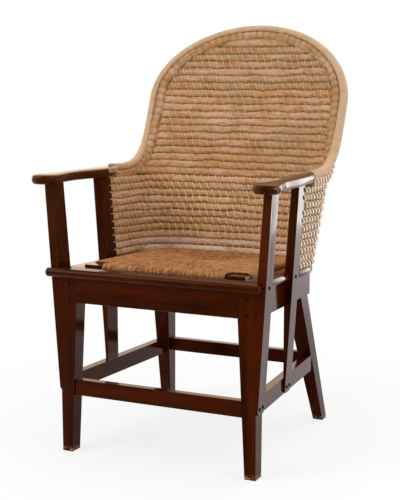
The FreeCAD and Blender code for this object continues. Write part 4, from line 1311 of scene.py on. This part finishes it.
class Fastenings(bpy.types.Operator):
    """Adds the peg ends in the front legs and the screw heads in the arm posts"""
    bl_idname = "straw_chair.fastenings"
    bl_label = "Pegs and screws"

    def execute(self, context):
        forwards = Matrix.Rotation(math.pi / 2, 4, "X")
        places = []
        for side in (-1, 1):
            for height in PEG_HEIGHTS:
                spot = Vector((side * PEG_OUT, LEG_FRONT - PEG_SUNK, height)) * MM
                places.append(Matrix.Translation(spot) @ forwards)
        pegs = spread_copies(turned_head(PEG_RADIUS, PEG_DEPTH, PEG_DOME), "peg_ends", places)
        pegs.data.materials.append(wood_finish("wood_end_grain", 1, PEG_GLOW))
        settle(pegs, "frame_wood", CHAIR, "rail_pegs")
        screws = spread_copies(slotted_head(), "screw_heads", self.screw_places(random.Random(SCREW_SEED)))
        screws.data.materials.append(screw_finish())
        settle(screws, "screw_metal", CHAIR, "post_screws")
        return {"FINISHED"}

    def screw_places(self, chance):
        """One screw at the board and two at the stretcher in each arm post, each turned by chance."""
        places = []
        tilt = math.atan((POST_FLARE - POST_LOW_THICK) / (ARM_HEIGHT - POST_LOW))
        for post in (0.0, REAR_POST_REACH):
            middle = post + POST_DEPTH / 2
            board = SEAT_HEIGHT - BOARD_THICK / 2 - math.tan(SLOPE) * middle
            spots = ((middle, board), (middle - SCREW_PAIR, SCREW_LOW), (middle + SCREW_PAIR, SCREW_LOW))
            for reach, height in spots:
                out = post_outer(reach, height) - SCREW_DEPTH / 2
                for side in (-1, 1):
                    spot = Vector((side * out, LEG_FRONT + reach, height)) * MM
                    outwards = Matrix.Rotation(side * (math.pi / 2 + tilt), 4, "Y")
                    turned = Matrix.Rotation(chance.uniform(0.0, math.pi), 4, "Z")
                    places.append(Matrix.Translation(spot) @ outwards @ turned)
        return places


# Stage; a lamp is (name, place, width, power)
PICTURE_HEIGHT, SENSOR = 500.0, 36.0
FOCAL_SHARE = 1101.6 / PICTURE_HEIGHT
CAMERA_SPOT = (1.1112, -2.0835 + LEG_FRONT * MM, 0.8474)
CAMERA_TURN, CAMERA_TILT = math.radians(24.82), math.radians(8.92)
CAMERA_SHIFT = (-15.4 / PICTURE_HEIGHT, 3.9 / PICTURE_HEIGHT)
LAMPS = (
    ("key_lamp", (-1.5, -2.1, 2.3), 1.8, 52.0),
    ("side_lamp", (2.3, -0.4, 1.3), 1.5, 18.0),
    ("top_lamp", (0.2, 0.4, 3.0), 2.4, 38.0),
    ("window_lamp", (1.45, 2.7, 0.75), 1.6, 30.0),
)
LAMP_AIM = Vector((0.0, 0.0, 0.5))
AMBIENT = 0.42
WHITE = (1.0, 1.0, 1.0, 1.0)
ROOM_WARMTH, ROOM_BRIGHT = (1.0, 0.79, 0.57, 1.0), 1.5
FLOOR_SIZE, FLOOR_PALE, FLOOR_DULL = 14.0, (0.86, 0.86, 0.86, 1.0), 0.9
FLOOR_WHITE, FLOOR_FADE = 0.78, (0.5, 1.1)


class Stage(bpy.types.Operator):
    """Sets up the camera, soft studio lamps, pale floor and white surroundings"""
    bl_idname = "straw_chair.stage"
    bl_label = "Stage"

    def execute(self, context):
        scene = context.scene
        scene.view_settings.view_transform = "Standard"
        self.add_camera(scene)
        for name, spot, width, power in LAMPS:
            lamp = bpy.data.lights.new(name, "AREA")
            lamp.size = width
            lamp.energy = power
            holder = bpy.data.objects.new(name, lamp)
            holder.location = spot
            holder.rotation_euler = (LAMP_AIM - Vector(spot)).to_track_quat("-Z", "Y").to_euler()
            scene.collection.objects.link(holder)
        self.add_surroundings(scene)
        self.add_floor()
        return {"FINISHED"}

    def add_camera(self, scene):
        lens = bpy.data.cameras.new("camera")
        lens.lens = FOCAL_SHARE * SENSOR
        lens.sensor_width = SENSOR
        lens.shift_x, lens.shift_y = CAMERA_SHIFT
        holder = bpy.data.objects.new("camera", lens)
        level = math.cos(CAMERA_TILT)
        back = Vector((math.sin(CAMERA_TURN) * level, -math.cos(CAMERA_TURN) * level, math.sin(CAMERA_TILT)))
        right = Vector((math.cos(CAMERA_TURN), math.sin(CAMERA_TURN), 0.0))
        turned = Matrix((right, back.cross(right), back)).transposed().to_4x4()
        holder.matrix_world = Matrix.Translation(CAMERA_SPOT) @ turned
        scene.collection.objects.link(holder)
        scene.camera = holder

    def add_surroundings(self, scene):
        """A white ground for the camera, warm for reflections and dimmer for everything else."""
        world = bpy.data.worlds.new("surroundings")
        world.use_nodes = True
        tree = world.node_tree
        plain = tree.nodes["Background"]
        plain.inputs["Color"].default_value = WHITE
        plain.inputs["Strength"].default_value = AMBIENT
        path = tree.nodes.new("ShaderNodeLightPath")
        shown = plain.outputs[0]
        views = (("Is Glossy Ray", ROOM_WARMTH, ROOM_BRIGHT), ("Is Camera Ray", WHITE, 1.0))
        for ray, colour, strength in views:
            seen = tree.nodes.new("ShaderNodeBackground")
            seen.inputs["Color"].default_value = colour
            seen.inputs["Strength"].default_value = strength
            blend = tree.nodes.new("ShaderNodeMixShader")
            for socket, end in zip((path.outputs[ray], shown, seen.outputs[0]), blend.inputs):
                tree.links.new(socket, end)
            shown = blend.outputs[0]
        tree.links.new(shown, tree.nodes["World Output"].inputs["Surface"])
        scene.world = world

    def add_floor(self):
        bpy.ops.object.select_all(action="DESELECT")
        bpy.ops.mesh.primitive_plane_add(size=FLOOR_SIZE)
        floor = bpy.context.active_object
        floor.name = "floor"
        finish = Finish("pale_floor")
        finish.surface(Base_Color=FLOOR_PALE, Specular_IOR_Level=0.0, Roughness=FLOOR_DULL)
        white = finish.node("ShaderNodeEmission", None, {"Color": WHITE, "Strength": 1.0})
        camera_ray = finish.node("ShaderNodeLightPath", None, None, "Is Camera Ray")
        away = finish.vector_maths("LENGTH", finish.object_coords(), output="Value")
        share = camera_ray * (FLOOR_WHITE + (1.0 - FLOOR_WHITE) * away.between(*FLOOR_FADE))
        lit = Signal(finish, finish.shader.outputs[0])
        blend = finish.node("ShaderNodeMixShader", None, {0: share, 1: lit, 2: white})
        finish.feed(finish.tree.nodes["Material Output"].inputs["Surface"], blend)
        floor.data.materials.append(finish.material)


class StrawChairPanel(bpy.types.Panel):
    """The armchair's pieces, sizes and colours"""
    bl_idname = "STRAWCHAIR_PT_panel"
    bl_label = "Straw chair"
    bl_space_type = "VIEW_3D"
    bl_region_type = "UI"
    bl_category = "Straw chair"

    def draw(self, context):
        for group in (context.scene.straw_chair_sizes, context.scene.straw_chair_colours):
            for name in group.__annotations__:
                self.layout.prop(group, name)
        for step in STEPS:
            self.layout.operator(step.bl_idname)


STEPS = (Stage, WoodenFrame, Fastenings, RushSeat, StrawCourses, Stitches, BackBorder, Lacing)
CLASSES = (StrawChairSizes, StrawChairColours) + STEPS + (StrawChairPanel,)


def register():
    for item in CLASSES:
        bpy.utils.register_class(item)
    bpy.types.Scene.straw_chair_sizes = bpy.props.PointerProperty(type=StrawChairSizes)
    bpy.types.Scene.straw_chair_colours = bpy.props.PointerProperty(type=StrawChairColours)


def unregister():
    del bpy.types.Scene.straw_chair_colours
    del bpy.types.Scene.straw_chair_sizes
    for item in reversed(CLASSES):
        bpy.utils.unregister_class(item)


def main():
    register()
    bpy.ops.straw_chair.stage()
    bpy.ops.straw_chair.wood()
    bpy.ops.straw_chair.fastenings()
    bpy.ops.straw_chair.rush()
    bpy.ops.straw_chair.courses()
    bpy.ops.straw_chair.stitches()
    bpy.ops.straw_chair.border()
    bpy.ops.straw_chair.lacing()


if __name__ == "__main__":
    main()
